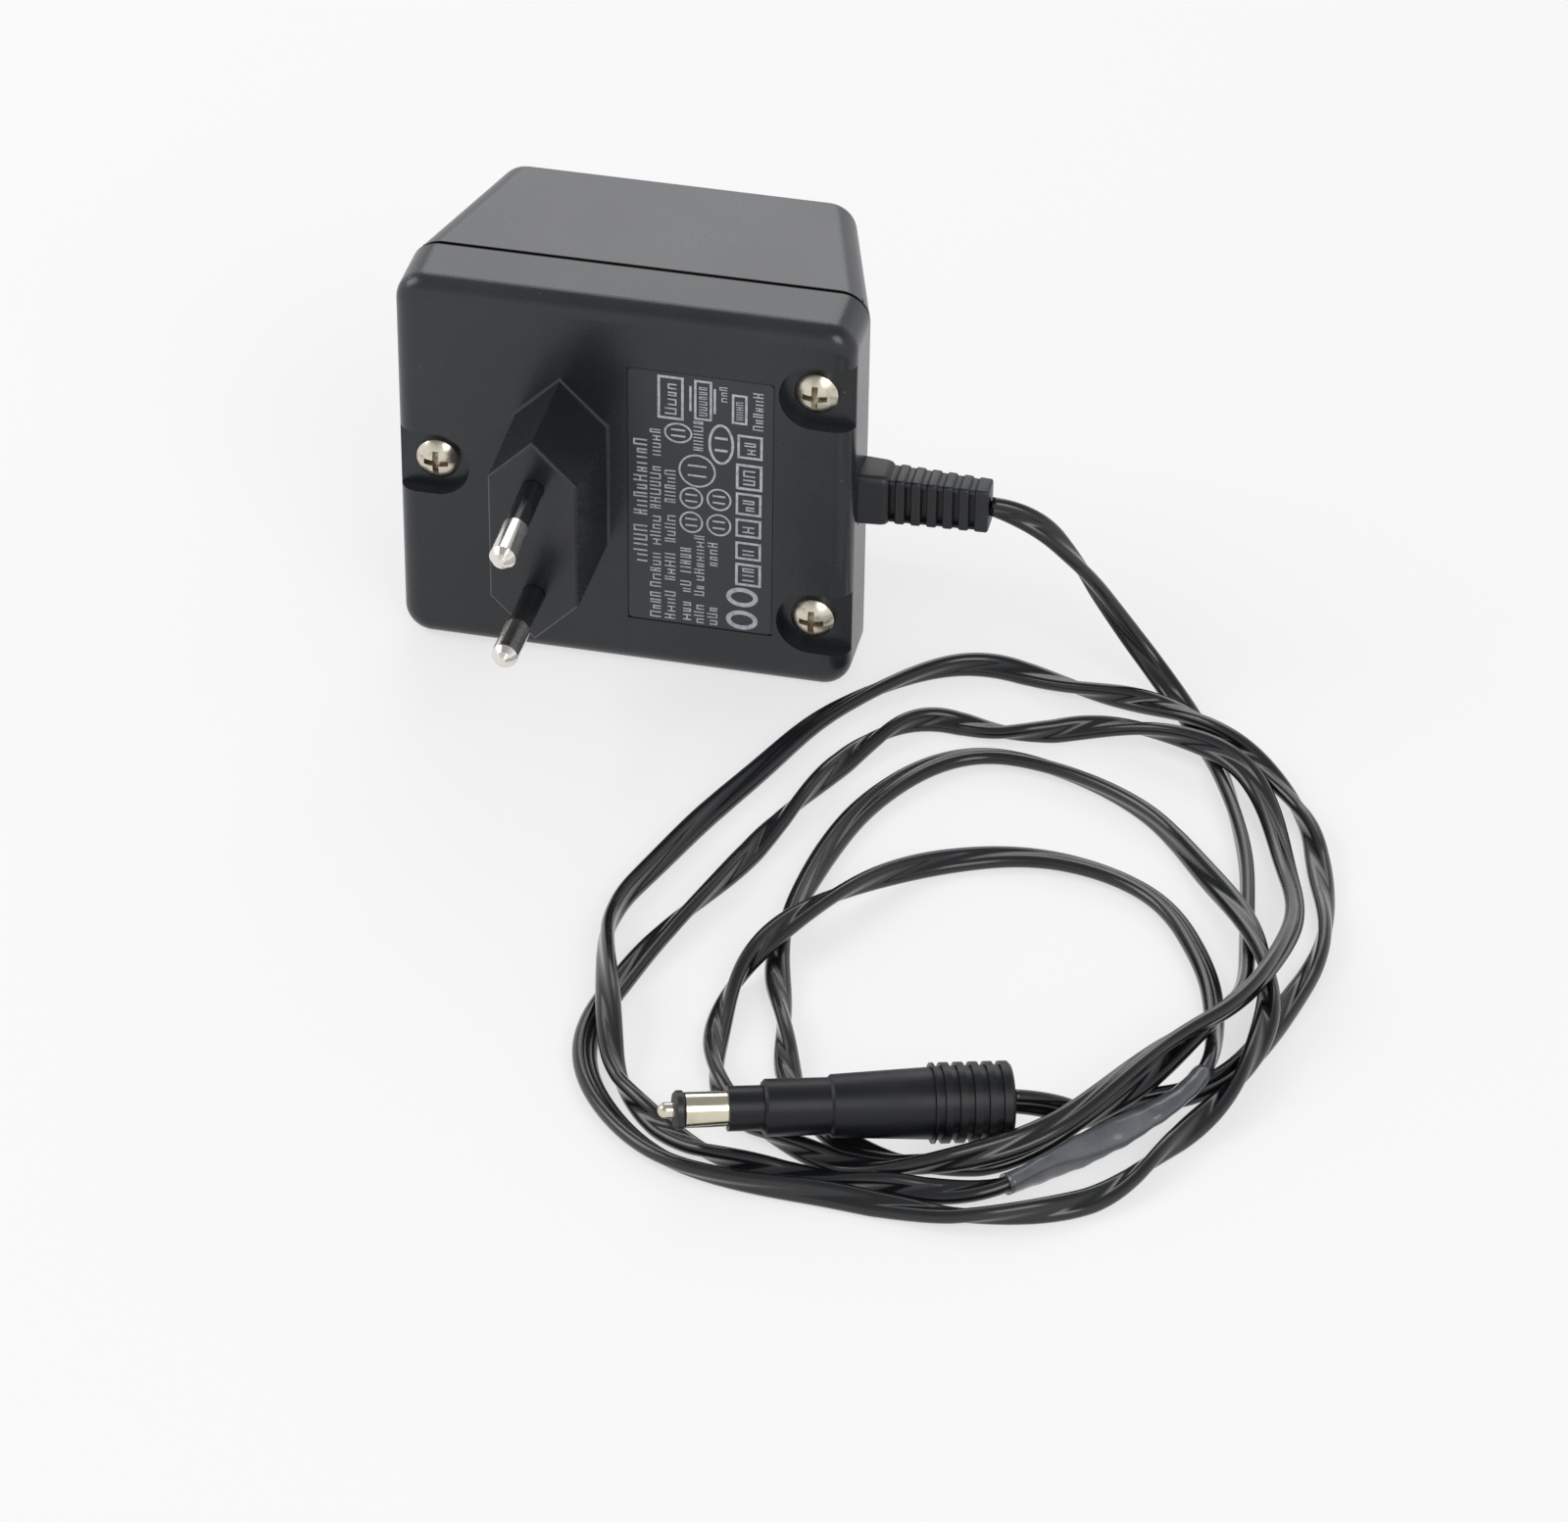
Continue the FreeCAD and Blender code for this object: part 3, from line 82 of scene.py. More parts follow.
# ---------------------------------------------------------------- material helpers
class Nodes:
    """Short calls for the nodes of one tree."""

    def __init__(self, tree):
        self.tree = tree

    def link(self, start, end):
        self.tree.links.new(start, end)

    def fill(self, socket, value):
        """Links a socket to a node's output, or gives it a value."""
        if isinstance(value, bpy.types.NodeSocket):
            self.link(value, socket)
        elif socket.type == "RGBA":
            socket.default_value = (*value, 1.0)
        else:
            socket.default_value = value

    def node(self, kind, **inputs):
        node = self.tree.nodes.new(kind)
        for name, value in inputs.items():
            self.fill(node.inputs[name.replace("_", " ")], value)
        return node

    def split(self, vector):
        """The parts of a vector, by axis."""
        return self.node("ShaderNodeSeparateXYZ", Vector=vector).outputs

    def ramp(self, value, low, high, start=0.0, end=1.0):
        node = self.node("ShaderNodeMapRange", Value=value, From_Min=low, From_Max=high, To_Min=start, To_Max=end)
        return node.outputs["Result"]

    def math(self, operation, first, second=0.0, clamp=False):
        node = self.tree.nodes.new("ShaderNodeMath")
        node.operation = operation
        node.use_clamp = clamp
        self.fill(node.inputs[0], first)
        self.fill(node.inputs[1], second)
        return node.outputs["Value"]

    def mix(self, share, first, second):
        """The first colour, and the second one by its share."""
        node = self.tree.nodes.new("ShaderNodeMix")
        node.data_type = "RGBA"
        for number, value in ((0, share), (6, first), (7, second)):
            self.fill(node.inputs[number], value)
        return node.outputs[2]

    def seen_ray(self):
        """1 for what the camera sees and for what shows in a gloss or through glass."""
        ray = self.node("ShaderNodeLightPath").outputs
        shown = self.math("ADD", ray["Is Glossy Ray"], ray["Is Transmission Ray"])
        return self.math("ADD", ray["Is Camera Ray"], shown, clamp=True)


class Shader(Nodes):
    """Material with one Principled shader."""

    def __init__(self, name, color, roughness, metallic=0.0, **sockets):
        self.material = bpy.data.materials.new(name)
        self.material.use_nodes = True
        super().__init__(self.material.node_tree)
        self.bsdf = self.tree.nodes["Principled BSDF"]
        self.set(Base_Color=color, Roughness=roughness, Metallic=metallic, **sockets)

    def set(self, **sockets):
        """Gives the shader's sockets their values or links."""
        for socket, value in sockets.items():
            self.fill(self.bsdf.inputs[socket.replace("_", " ")], value)

    def spot(self, space="Object"):
        return self.node("ShaderNodeTexCoord").outputs[space]

    def noise(self, scale, detail, roughness, stretch=None):
        source = self.spot()
        if stretch:
            source = self.node("ShaderNodeMapping", Vector=source, Scale=stretch).outputs["Vector"]
        node = self.node("ShaderNodeTexNoise", Vector=source, Scale=scale, Detail=detail, Roughness=roughness)
        return node.outputs["Fac"]

    def bump(self, height, distance, strength):
        node = self.node("ShaderNodeBump", Height=height, Distance=distance, Strength=strength)
        self.set(Normal=node.outputs["Normal"])


# ---------------------------------------------------------------- finishes
# marks of the housing: settled dusting with painted sheen on upward faces, scuffs and nicks
DUST_AND_SHEEN = (0.2, 0.203, 0.21)
SCUFF = (0.12, 0.12, 0.125)
SCUFF_SHARE = 0.2
NICK = (0.3, 0.3, 0.3)
NICK_SHARE = 0.45
# painted shade: dark line along the housing's parting groove, standing in for the shade of its slightly rounded edges
SEAM_SHADE = (0.002, 0.002, 0.002)
SEAM_HALF = 0.42 * MM
SEAM_FADE = 0.15 * MM
SEAM_SHIFT = 0.25 * MM
# painted shade: the pin is darkened where it stands in the boss
PIN_ROOT_SHADE = (0.01, 0.01, 0.01)
PIN_ROOT_FADE = 0.4 * MM
# screw: plating, tarnish and dirt, and how deep under the head's dome and how far out the dirt lies
SCREW_PLATE = (0.66, 0.62, 0.52)
SCREW_TARNISH = (0.4, 0.34, 0.23)
SCREW_DIRT = (0.26, 0.19, 0.11)
SCREW_DOME = 6.0 * MM
DIRT_DEPTH = (0.25 * MM, 0.7 * MM)
DIRT_REACH = (0.13, 0.1)
# label: film and ink, each plain and worn
FILM = ((0.022, 0.024, 0.027), (0.03, 0.032, 0.036))
INK = ((0.5, 0.53, 0.57), (0.3, 0.32, 0.35))
# gloss of the cord's skin
CORD_SPECULAR = 0.15
CORD_COAT = 0.85
CORD_COAT_ROUGHNESS = 0.17


def housing_finish(name, dark, worn, roughness, dust_and_sheen_level):
    """Spark-eroded black plastic: dusting and painted sheen on its upward faces, rubbed patches and a few pale nicks.
    """
    made = Shader(name, dark, roughness)
    grain = made.noise(2400.0, 2.0, 0.6)
    cloud = made.noise(26.0, 3.0, 0.6)
    nicks = made.ramp(made.noise(1100.0, 1.0, 0.5), 0.8, 0.84)
    scuffs = made.ramp(made.noise(240.0, 3.0, 0.7, stretch=(1.0, 1.0, 4.0)), 0.73, 0.79)
    # upward faces are lightened, partly as settled dusting and partly as painted sheen
    normal = made.node("ShaderNodeNewGeometry").outputs["Normal"]
    upward = made.ramp(made.split(normal)["Z"], 0.55, 0.97)
    dust_and_sheen_share = made.math("MULTIPLY", upward, made.ramp(grain, 0.3, 0.7, dust_and_sheen_level * 0.5, dust_and_sheen_level))
    color = made.mix(made.ramp(cloud, 0.42, 0.68), dark, worn)
    color = made.mix(dust_and_sheen_share, color, DUST_AND_SHEEN)
    color = made.mix(made.math("MULTIPLY", scuffs, SCUFF_SHARE), color, SCUFF)
    color = made.mix(made.math("MULTIPLY", nicks, NICK_SHARE), color, NICK)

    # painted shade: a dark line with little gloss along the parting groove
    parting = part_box("rear_housing")[0].y
    apart = made.math("ABSOLUTE", made.math("SUBTRACT", made.split(made.spot())["Y"], parting + SEAM_SHIFT))
    painted_seam_shade = made.ramp(apart, SEAM_HALF, SEAM_HALF + SEAM_FADE, 1.0, 0.0)
    spread = made.math("ADD", cloud, made.math("MULTIPLY", grain, 0.5))
    made.set(
        Base_Color=made.mix(painted_seam_shade, color, SEAM_SHADE),
        Specular_IOR_Level=made.ramp(painted_seam_shade, 0.0, 1.0, 0.5, 0.05),
        Roughness=made.ramp(spread, 0.4, 1.0, roughness - 0.05, roughness + 0.08),
    )
    made.bump(grain, 0.04 * MM, 0.4)
    return made.material


def smooth_finish(name, color, roughness, specular=0.5):
    """Smooth moulding, a little cloudy: pin sleeves, strain relief, plug and inner pieces."""
    made = Shader(name, color, roughness, Specular_IOR_Level=specular)
    cloud = made.noise(60.0, 3.0, 0.6)
    grain = made.noise(1500.0, 2.0, 0.6)
    lighter = tuple(channel * 1.5 + 0.002 for channel in color)
    made.set(
        Base_Color=made.mix(made.ramp(cloud, 0.35, 0.75), color, lighter),
        Roughness=made.ramp(cloud, 0.3, 0.7, roughness - 0.06, roughness + 0.08),
    )
    made.bump(grain, 0.02 * MM, 0.5)
    return made.material


def plated_finish(name, color, roughness, stain, root=None):
    """Nickel plate with fine turning marks and a few dull stains, with painted shade behind the root's plane."""
    made = Shader(name, color, roughness, 1.0)
    cloud = made.noise(160.0, 2.0, 0.5)
    lines = made.noise(700.0, 2.0, 0.5, stretch=(0.3, 5.0, 0.3))
    plated = made.mix(made.ramp(cloud, 0.52, 0.75), color, stain)
    # painted shade on the pin where it stands in the boss
    if root is not None:
        root_shade = made.ramp(made.split(made.spot())["Y"], root - PIN_ROOT_FADE, root)
        plated = made.mix(root_shade, plated, PIN_ROOT_SHADE)
    marks = made.math("ADD", cloud, lines)
    made.set(
        Base_Color=plated,
        Roughness=made.ramp(marks, 0.7, 1.4, roughness - 0.05, roughness + 0.14),
    )
    made.bump(lines, 0.01 * MM, 0.25)
    return made.material


def screw_finish():
    """Nickel-plated pan head with brown dirt down in its cross."""
    low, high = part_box("cover_screw_left")
    made = Shader("screw_nickel", (0.66, 0.63, 0.56), 0.26, 1.0)
    axes = made.split(made.spot("Generated"))
    across = made.math("SUBTRACT", axes["X"], 0.5)
    along = made.math("SUBTRACT", axes["Z"], 0.5)
    radius = made.math("ADD", made.math("MULTIPLY", across, across), made.math("MULTIPLY", along, along))
    depth = made.math("MULTIPLY", axes["Y"], high.y - low.y)
    dome = made.math("MULTIPLY", radius, SCREW_DOME)
    sunk = made.ramp(made.math("SUBTRACT", depth, dome), *DIRT_DEPTH)
    inner = made.ramp(radius, *DIRT_REACH)
    cloud = made.noise(600.0, 3.0, 0.65)
    dirt = made.math("MULTIPLY", made.math("MULTIPLY", sunk, inner), made.ramp(cloud, 0.35, 0.6, 0.35, 1.0))
    plated = made.mix(made.ramp(cloud, 0.5, 0.72, 0.0, 0.7), SCREW_PLATE, SCREW_TARNISH)
    made.set(
        Base_Color=made.mix(dirt, plated, SCREW_DIRT),
        Roughness=made.ramp(made.math("ADD", cloud, dirt), 0.45, 1.3, 0.26, 0.6),
    )
    made.bump(cloud, 0.02 * MM, 0.4)
    return made.material


def cord_finish(name, color, roughness, pale):
    """Soft insulation: glossy skin with dull handling marks."""
    made = Shader(
        name, color, roughness,
        Specular_IOR_Level=CORD_SPECULAR, Coat_Weight=CORD_COAT, Coat_Roughness=CORD_COAT_ROUGHNESS,
    )
    cloud = made.noise(90.0, 4.0, 0.65)
    rub = made.noise(900.0, 2.0, 0.5)
    made.set(
        Base_Color=made.mix(made.ramp(cloud, 0.4, 0.75), color, pale),
        Roughness=made.ramp(cloud, 0.35, 0.7, roughness - 0.06, roughness + 0.12),
    )
    made.bump(rub, 0.01 * MM, 0.1)
    return made.material


def film_finish():
    """Smooth black film of the label."""
    made = Shader("label_film", (0.026, 0.028, 0.03), 0.34)
    cloud = made.noise(45.0, 3.0, 0.6)
    grain = made.noise(1800.0, 2.0, 0.5)
    made.set(
        Base_Color=made.mix(made.ramp(cloud, 0.35, 0.7), *FILM),
        Roughness=made.ramp(cloud, 0.3, 0.7, 0.3, 0.4),
    )
    made.bump(grain, 0.015 * MM, 0.4)
    return made.material


def ink_finish():
    """Grey ink, slightly worn."""
    made = Shader("label_ink", (0.46, 0.49, 0.53), 0.5)
    made.set(Base_Color=made.mix(made.ramp(made.noise(1600.0, 3.0, 0.6), 0.45, 0.7), *INK))
    return made.material


def layered_finish(name, color, roughness, metallic, scale, stretch, height, strength):
    """Metal in fine layers: the sheets of the core or the turns of a winding."""
    made = Shader(name, color, roughness, metallic)
    made.bump(made.noise(scale, 1.0, 0.4, stretch=stretch), height, strength)
    return made.material


# ---------------------------------------------------------------- pieces
BEVEL_ANGLE = math.radians(35)


def dress(material, *names, bevel=None):
    """Gives CAD nodes their finish and, where they have crisp edges, a small rounding."""
    for name in names:
        piece = nodes[name]
        piece.data.materials.clear()
        piece.data.materials.append(material)
        if bevel:
            edge = piece.modifiers.new("edge", "BEVEL")
            edge.width = bevel
            edge.segments = 2
            edge.limit_method = "ANGLE"
            edge.angle_limit = BEVEL_ANGLE
            edge.harden_normals = False


def new_piece(name, mesh, material):
    piece = bpy.data.objects.new(name, mesh)
    bpy.context.scene.collection.objects.link(piece)
    mesh.materials.append(material)
    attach(piece, "root")
    return piece


def loft_rings(name, rings, cap=True):
    """Smooth skin over rings of as many points each."""
    mesh = bpy.data.meshes.new(name)
    bm = bmesh.new()
    rows = [[bm.verts.new(spot) for spot in ring] for ring in rings]
    count = len(rows[0])
    for low, high in zip(rows, rows[1:]):
        for i in range(count):
            after = (i + 1) % count
            bm.faces.new((low[i], low[after], high[after], high[i]))
    if cap:
        bm.faces.new(list(reversed(rows[0])))
        bm.faces.new(rows[-1])
    bmesh.ops.recalc_face_normals(bm, faces=bm.faces)
    for face in bm.faces:
        face.smooth = len(face.verts) == 4
    bm.to_mesh(mesh)
    bm.free()
    return mesh


# ---------------------------------------------------------------- strain relief
RELIEF_MIDDLE = (7.2 * MM, 32.3 * MM)
BLOCK_END = 40.1 * MM
RELIEF_END = 55.3 * MM
RELIEF_SHARP = math.radians(48)
CORNER_STEPS = 6
# sections in mm: from the foot's inner end, or before the block's end, and half depth, half height, corner
FOOT_ROWS = ((0.0, 3.25, 5.25, 0.3), (2.0, 3.25, 5.25, 0.3), (2.01, 3.24, 4.39, 0.5))
BLOCK_ROWS = ((1.2, 3.25, 4.4, 1.2), (0.5, 3.12, 4.27, 1.2), (0.12, 2.88, 4.03, 1.2), (0.0, 2.55, 3.75, 1.1))
# the tail in mm: half of each at its start, and how much less at its end
TAIL_DEPTH = (2.75, 0.55)
TAIL_HEIGHT = (3.95, 0.25)
TAIL_WEB = (1.5, 0.3)
RIB_COUNT = 6
RIB_PITCH = 2.45 * MM
RIB_CORNER = 0.55
# rounding of a rib in mm: from its side, and how much less half depth there; the height loses this share of it
RIB_ROUNDING = ((0.0, 0.3), (0.1, 0.09), (0.3, 0.0))
RIB_ROUNDING_HEIGHT = 0.7
RIB_GAP = 0.85 * MM
GAP_SIDE = 0.02 * MM
# how far a gap's rails lie under the ribs in depth and height, and their corner, in mm
GAP_SINK = (0.2, 0.21)
GAP_CORNER = 0.5
RAIL = 0.65 * MM
RAIL_SLOPE = 0.08 * MM
RAIL_SPARE = 0.02 * MM


def rounded_ring(x, half_depth, half_height, corner, web):
    """Rounded rectangle across the strain relief's axis, narrowed to the web between its two rails."""
    y0, z0 = RELIEF_MIDDLE
    rail = max(RAIL, corner + RAIL_SPARE)
    out = []
    for turn, (sy, sz) in enumerate(((1, 1), (-1, 1), (-1, -1), (1, -1))):
        flank = [
            Vector((x, y0 + sy * web, z0 + sz * (half_height - rail - RAIL_SLOPE))),
            Vector((x, y0 + sy * half_depth, z0 + sz * (half_height - rail))),
        ]
        arc = []
        for i in range(CORNER_STEPS + 1):
            angle = math.pi / 2 * (turn + i / CORNER_STEPS)
            arc.append(Vector((
                x, y0 + sy * (half_depth - corner) + corner * math.cos(angle),
                z0 + sz * (half_height - corner) + corner * math.sin(angle),
            )))
        out += flank + arc if turn % 2 == 0 else arc + flank[::-1]
    return out


def tail_at(x):
    """Half depth, half height and half web of the tail at x, in mm."""
    share = (x - BLOCK_END) / (RELIEF_END - BLOCK_END)
    return [start - less * share for start, less in (TAIL_DEPTH, TAIL_HEIGHT, TAIL_WEB)]


def make_relief(material):
    """Strain relief: foot in the wall, rounded block and a tapered tail with slots between two rails."""
    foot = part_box("strain_relief")[0].x
    rows = [(foot + x * MM, *sizes) for x, *sizes in FOOT_ROWS]
    rows += [(BLOCK_END - x * MM, *sizes) for x, *sizes in BLOCK_ROWS]

    def gap(start, end):
        for x in (start + GAP_SIDE, end - GAP_SIDE):
            depth, height, web = tail_at(x)
            rows.append((x, depth - GAP_SINK[0], height - GAP_SINK[1], GAP_CORNER, web))

    def rib(start, end):
        sides = [(start + x * MM, less) for x, less in RIB_ROUNDING]
        sides += [(end - x * MM, less) for x, less in reversed(RIB_ROUNDING)]
        for x, less in sides:
            depth, height, _ = tail_at(x)
            rows.append((x, depth - less, height - less * RIB_ROUNDING_HEIGHT, RIB_CORNER))

    for i in range(RIB_COUNT):
        start = BLOCK_END + RIB_PITCH * i
        gap(start, start + RIB_GAP)
        rib(start + RIB_GAP, RELIEF_END if i == RIB_COUNT - 1 else start + RIB_PITCH)
    rings = [
        rounded_ring(x, depth * MM, height * MM, corner * MM, (web[0] if web else depth) * MM)
        for x, depth, height, corner, *web in rows
    ]
    mesh = loft_rings("relief_ribs", rings)
    mesh.set_sharp_from_angle(angle=RELIEF_SHARP)
    relief = new_piece("relief_ribs", mesh, material)
    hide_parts("strain_relief")
    return relief


# ---------------------------------------------------------------- cord
# the cord's way from the strain relief to the plug, in mm
ROUTE = [
    (55.3, 7.2, 32.3), (62, 7.9, 31), (69, 9.5, 22.4), (75, 11, 12), (82.5, 9, 4), (91, -2, 1.5),
    (97.5, -15, 1.5), (101.5, -31, 1.5), (105, -48, 1.5), (107, -63, 2.3), (104.5, -74, 5.8), (99, -84, 5),
    (93, -96, 5.2), (83.2, -106.6, 2.3), (72, -111.5, 1.5), (60, -111, 1.5), (50, -103, 1.5), (43.5, -86, 1.5),
    (38.5, -68, 1.5), (40.5, -48, 1.5), (46, -24, 1.5), (58, -13, 1.5), (74, -16, 1.5), (88, -25, 1.5),
    (98, -38, 3), (105, -51, 5), (110, -63, 5), (111.5, -75, 5), (108, -90, 2.5), (100, -103, 1.5),
    (92, -115, 1.5), (79, -121, 1.5), (62, -120.8, 1.5), (46, -120.8, 1.5), (31, -117, 1.5), (20, -106, 1.5),
    (16, -92, 1.5), (20, -76, 1.5), (27, -56, 1.5), (33.5, -35, 1.5), (41.5, -14.5, 1.5), (50, -6, 1.5),
    (63, -8, 1.5), (76, -3.5, 2.5), (88, -7, 5), (97, -11, 5), (102.6, -17.5, 3), (108, -29.5, 1.5),
    (111.5, -45, 4), (111, -62, 8.2), (107, -74, 8.2), (100.5, -82.5, 8), (94, -94, 8.3), (84.8, -106.2, 6.2),
    (74, -113, 4.6), (61, -114.4, 1.5), (50, -112, 1.5), (40, -105, 1.5), (35.5, -93, 1.5), (34, -79, 1.5),
    (38, -69.5, 5), (45.5, -55, 4), (57, -43, 1.5), (70, -37, 1.5), (82, -38.5, 1.5), (93, -45, 1.5),
    (100, -58, 1.5), (103.8, -72, 1.5), (105.5, -83, 4.7), (103, -91, 4.7), (94.6, -100.2, 3.5),
    (84.7, -110.3, 2.5), (78, -115.5, 2), (66, -117.4, 1.5), (46, -117.4, 1.5), (33, -112.5, 1.5),
    (24, -103.5, 1.5), (19.5, -92, 4.5), (16, -80, 4.5), (14, -65, 1.5), (17.5, -52, 1.5), (25, -29, 1.5),
    (34.5, -8.5, 1.5), (45, 5, 1.5), (56, 10, 1.5), (70, 6.5, 1.5), (82, 2, 3.5), (91, -3.2, 5),
    (100, -8.5, 4), (109.5, -18.5, 1.5), (114.5, -36, 1.5), (116, -52, 1.5), (113, -68, 1.5), (109, -80, 1.5),
    (103.5, -87.5, 1.5), (96, -91, 1.5), (89.5, -95.8, 1.5), (84.3, -98.8, 5.6), (79.3, -101, 6.8),
]
ROUTE_STEPS = 12
CORD_STEP = 0.75 * MM
SPLICE_START = (104.25, -87.0, 4.7)
SPLICE_END = (81.35, -112.9, 2.25)
FLAT_WIDTH = 3.8 * MM
FLAT_THICKNESS = 2.05 * MM
LOBE_RADIUS = FLAT_THICKNESS / 2
LOBE_OFFSET = FLAT_WIDTH / 2 - LOBE_RADIUS
LOBE_REACH = math.radians(122)
LOBE_POINTS = 20
# even twist in turns per metre, and the waves on it: (turns, wave length in metres, start)
TWIST_TURNS = 13.5
TWIST_WAVES = ((0.36, 0.21, 0.4), (0.03, 0.083, 1.7))
# small sideways wander, which the twists give the cord: (share, wave length in metres, start)
SWAY = 0.3 * MM
SWAY_WAVES = ((1.0, 0.057, 1.0), (0.6, 0.031, 0.0))
# length over which the sway grows from each end
CALM_END = 20 * MM
FLOOR_CLEAR = 0.05 * MM
# sleeve over the splice: points round it, how far it stands off the cord, its wrinkles (share, pace, start) and flare
SLEEVE_POINTS = 28
SLEEVE_WIDER = 0.35 * MM
SLEEVE_TALLER = 0.42 * MM
SLEEVE_WRINKLES = ((0.03, 31.0, 0.0), (0.025, 67.0, 1.0))
SLEEVE_FLARE = 0.12
SLEEVE_FLARE_POWER = 8


def spline_points():
    """Points read from the smooth spline of the route."""
    curve = bpy.data.curves.new("route", "CURVE")
    curve.dimensions = "3D"
    curve.resolution_u = ROUTE_STEPS
    spline = curve.splines.new("NURBS")
    spline.points.add(len(ROUTE) - 1)
    for point, spot in zip(spline.points, ROUTE):
        point.co = (*(Vector(spot) * MM), 1.0)
    spline.order_u = 3
    spline.use_endpoint_u = True
    holder = bpy.data.objects.new("route", curve)
    bpy.context.scene.collection.objects.link(holder)
    bpy.context.view_layer.update()
    mesh = bpy.data.meshes.new_from_object(holder)
    points = [vertex.co.copy() for vertex in mesh.vertices]
    bpy.data.objects.remove(holder)
    bpy.data.curves.remove(curve)
    bpy.data.meshes.remove(mesh)
    return points


def even(points, step):
    """The same line with even steps."""
    out = [points[0].copy()]
    carry = 0.0
    for a, b in zip(points, points[1:]):
        length = (b - a).length
        if length < 1e-9:
            continue
        spot = step - carry
        while spot < length:
            out.append(a.lerp(b, spot / length))
            spot += step
        carry = (carry + length) % step
    if (out[-1] - points[-1]).length > step * 0.3:
        out.append(points[-1].copy())
    return out


def frames_along(path):
    """For each point: the point, the sideways and the upward direction, and the distance."""
    out = []
    distance = 0.0
    for i, point in enumerate(path):
        ahead = path[min(i + 1, len(path) - 1)] - path[max(i - 1, 0)]
        ahead.normalize()
        side = ahead.cross(Vector((0, 0, 1))).normalized()
        up = side.cross(ahead)
        if i:
            distance += (point - path[i - 1]).length
        out.append((point, side, up, distance))
    return out


def waves_at(distance, waves):
    return sum(size * math.sin(distance * 2 * math.pi / length + start) for size, length, start in waves)


def twist_at(distance):
    """Turn of the flat section about its run, in radians, faster and slower along the cord."""
    return 2 * math.pi * (TWIST_TURNS * distance + waves_at(distance, TWIST_WAVES))


def section_at(side, up, turn):
    """The flat section's long and short direction."""
    return side * math.cos(turn) + up * math.sin(turn), up * math.cos(turn) - side * math.sin(turn)


def lobes():
    """Outline of the twin section: two round lobes joined by a web, in metres."""
    out = []
    for side in (1, -1):
        for i in range(LOBE_POINTS):
            angle = -LOBE_REACH + 2 * LOBE_REACH * i / (LOBE_POINTS - 1)
            out.append((
                side * (LOBE_OFFSET + LOBE_RADIUS * math.cos(angle)), side * LOBE_RADIUS * math.sin(angle),
            ))
    return out


def sleeve_rings(frames, lifted):
    """Rings of the wrinkled sleeve over the cord's splice."""

    def nearest(spot):
        return min(range(len(frames)), key=lambda i: (frames[i][0] - Vector(spot) * MM).length)

    first = nearest(SPLICE_START)
    last = nearest(SPLICE_END)
    angles = [2 * math.pi * k / SLEEVE_POINTS for k in range(SLEEVE_POINTS)]
    rings = []
    for i in range(first, last + 1):
        _, side, up, distance = frames[i]
        across, over = section_at(side, up, twist_at(distance))
        share = (i - first) / (last - first)
        swell = 1.0 + sum(size * math.sin(share * pace + start) for size, pace, start in SLEEVE_WRINKLES)
        swell += SLEEVE_FLARE * share ** SLEEVE_FLARE_POWER
        wide = (FLAT_WIDTH / 2 + SLEEVE_WIDER) * swell
        tall = (FLAT_THICKNESS / 2 + SLEEVE_TALLER) * swell
        rings.append([lifted[i] + across * wide * math.cos(a) + over * tall * math.sin(a) for a in angles])
    return rings


def make_cord(material, sleeve_material):
    """The twisted twin cord, laid on the floor, with the sleeve over its splice."""
    frames = frames_along(even(spline_points(), CORD_STEP))
    length = frames[-1][3]
    outline = lobes()
    rings = []
    lifted = []
    for point, side, up, distance in frames:
        turn = twist_at(distance)
        across, over = section_at(side, up, turn)
        lowest = LOBE_RADIUS + LOBE_OFFSET * abs(math.sin(turn)) * max(up.z, 0.0)
        lift = max(0.0, lowest + FLOOR_CLEAR - point.z)
        ends = min(1.0, distance / CALM_END, max(0.0, (length - distance) / CALM_END))
        middle = point + Vector((0, 0, lift)) + side * (SWAY * waves_at(distance, SWAY_WAVES) * ends)
        rings.append([middle + across * x + over * y for x, y in outline])
        lifted.append(middle)
    cord = new_piece("output_cord", loft_rings("output_cord", rings), material)
    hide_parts("output_cord_long", "output_cord_short")
    sleeve_mesh = loft_rings("splice_sleeve", sleeve_rings(frames, lifted))
    sleeve = new_piece("splice_sleeve", sleeve_mesh, sleeve_material)
    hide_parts("repair_sleeve")


# ---------------------------------------------------------------- foot of the plug boss
FACE = -1.05 * MM
BOSS_MIDDLE = (-9.6 * MM, 32.3 * MM)
BOSS_HALF = 6.85 * MM
BOSS_TIP = 17.65 * MM
BOSS_FLAT = 10.7 * MM
BOSS_DRAFT = 0.25 * MM
# how much the tips and the straight sides grow with the sides
TIP_GROWTH = 1.25
FLAT_GROWTH = 0.5
FILLET = 0.55 * MM
FILLET_STEPS = 6
FILLET_SHARP = math.radians(35)
# the fillet's hidden edges run this far into the boss and the face
FILLET_SUNK = 0.2 * MM


def boss_ring(grow, height):
    """Six-sided outline round the boss, grown outwards, at a height over the front face."""
    x0, z0 = BOSS_MIDDLE
    half = BOSS_HALF + grow
    tip = BOSS_TIP + grow * TIP_GROWTH
    flat = BOSS_FLAT + grow * FLAT_GROWTH
    corners = [(half, -flat), (half, flat), (0, tip), (-half, flat), (-half, -flat), (0, -tip)]
    return [Vector((x0 + x, FACE - height, z0 + z)) for x, z in corners]


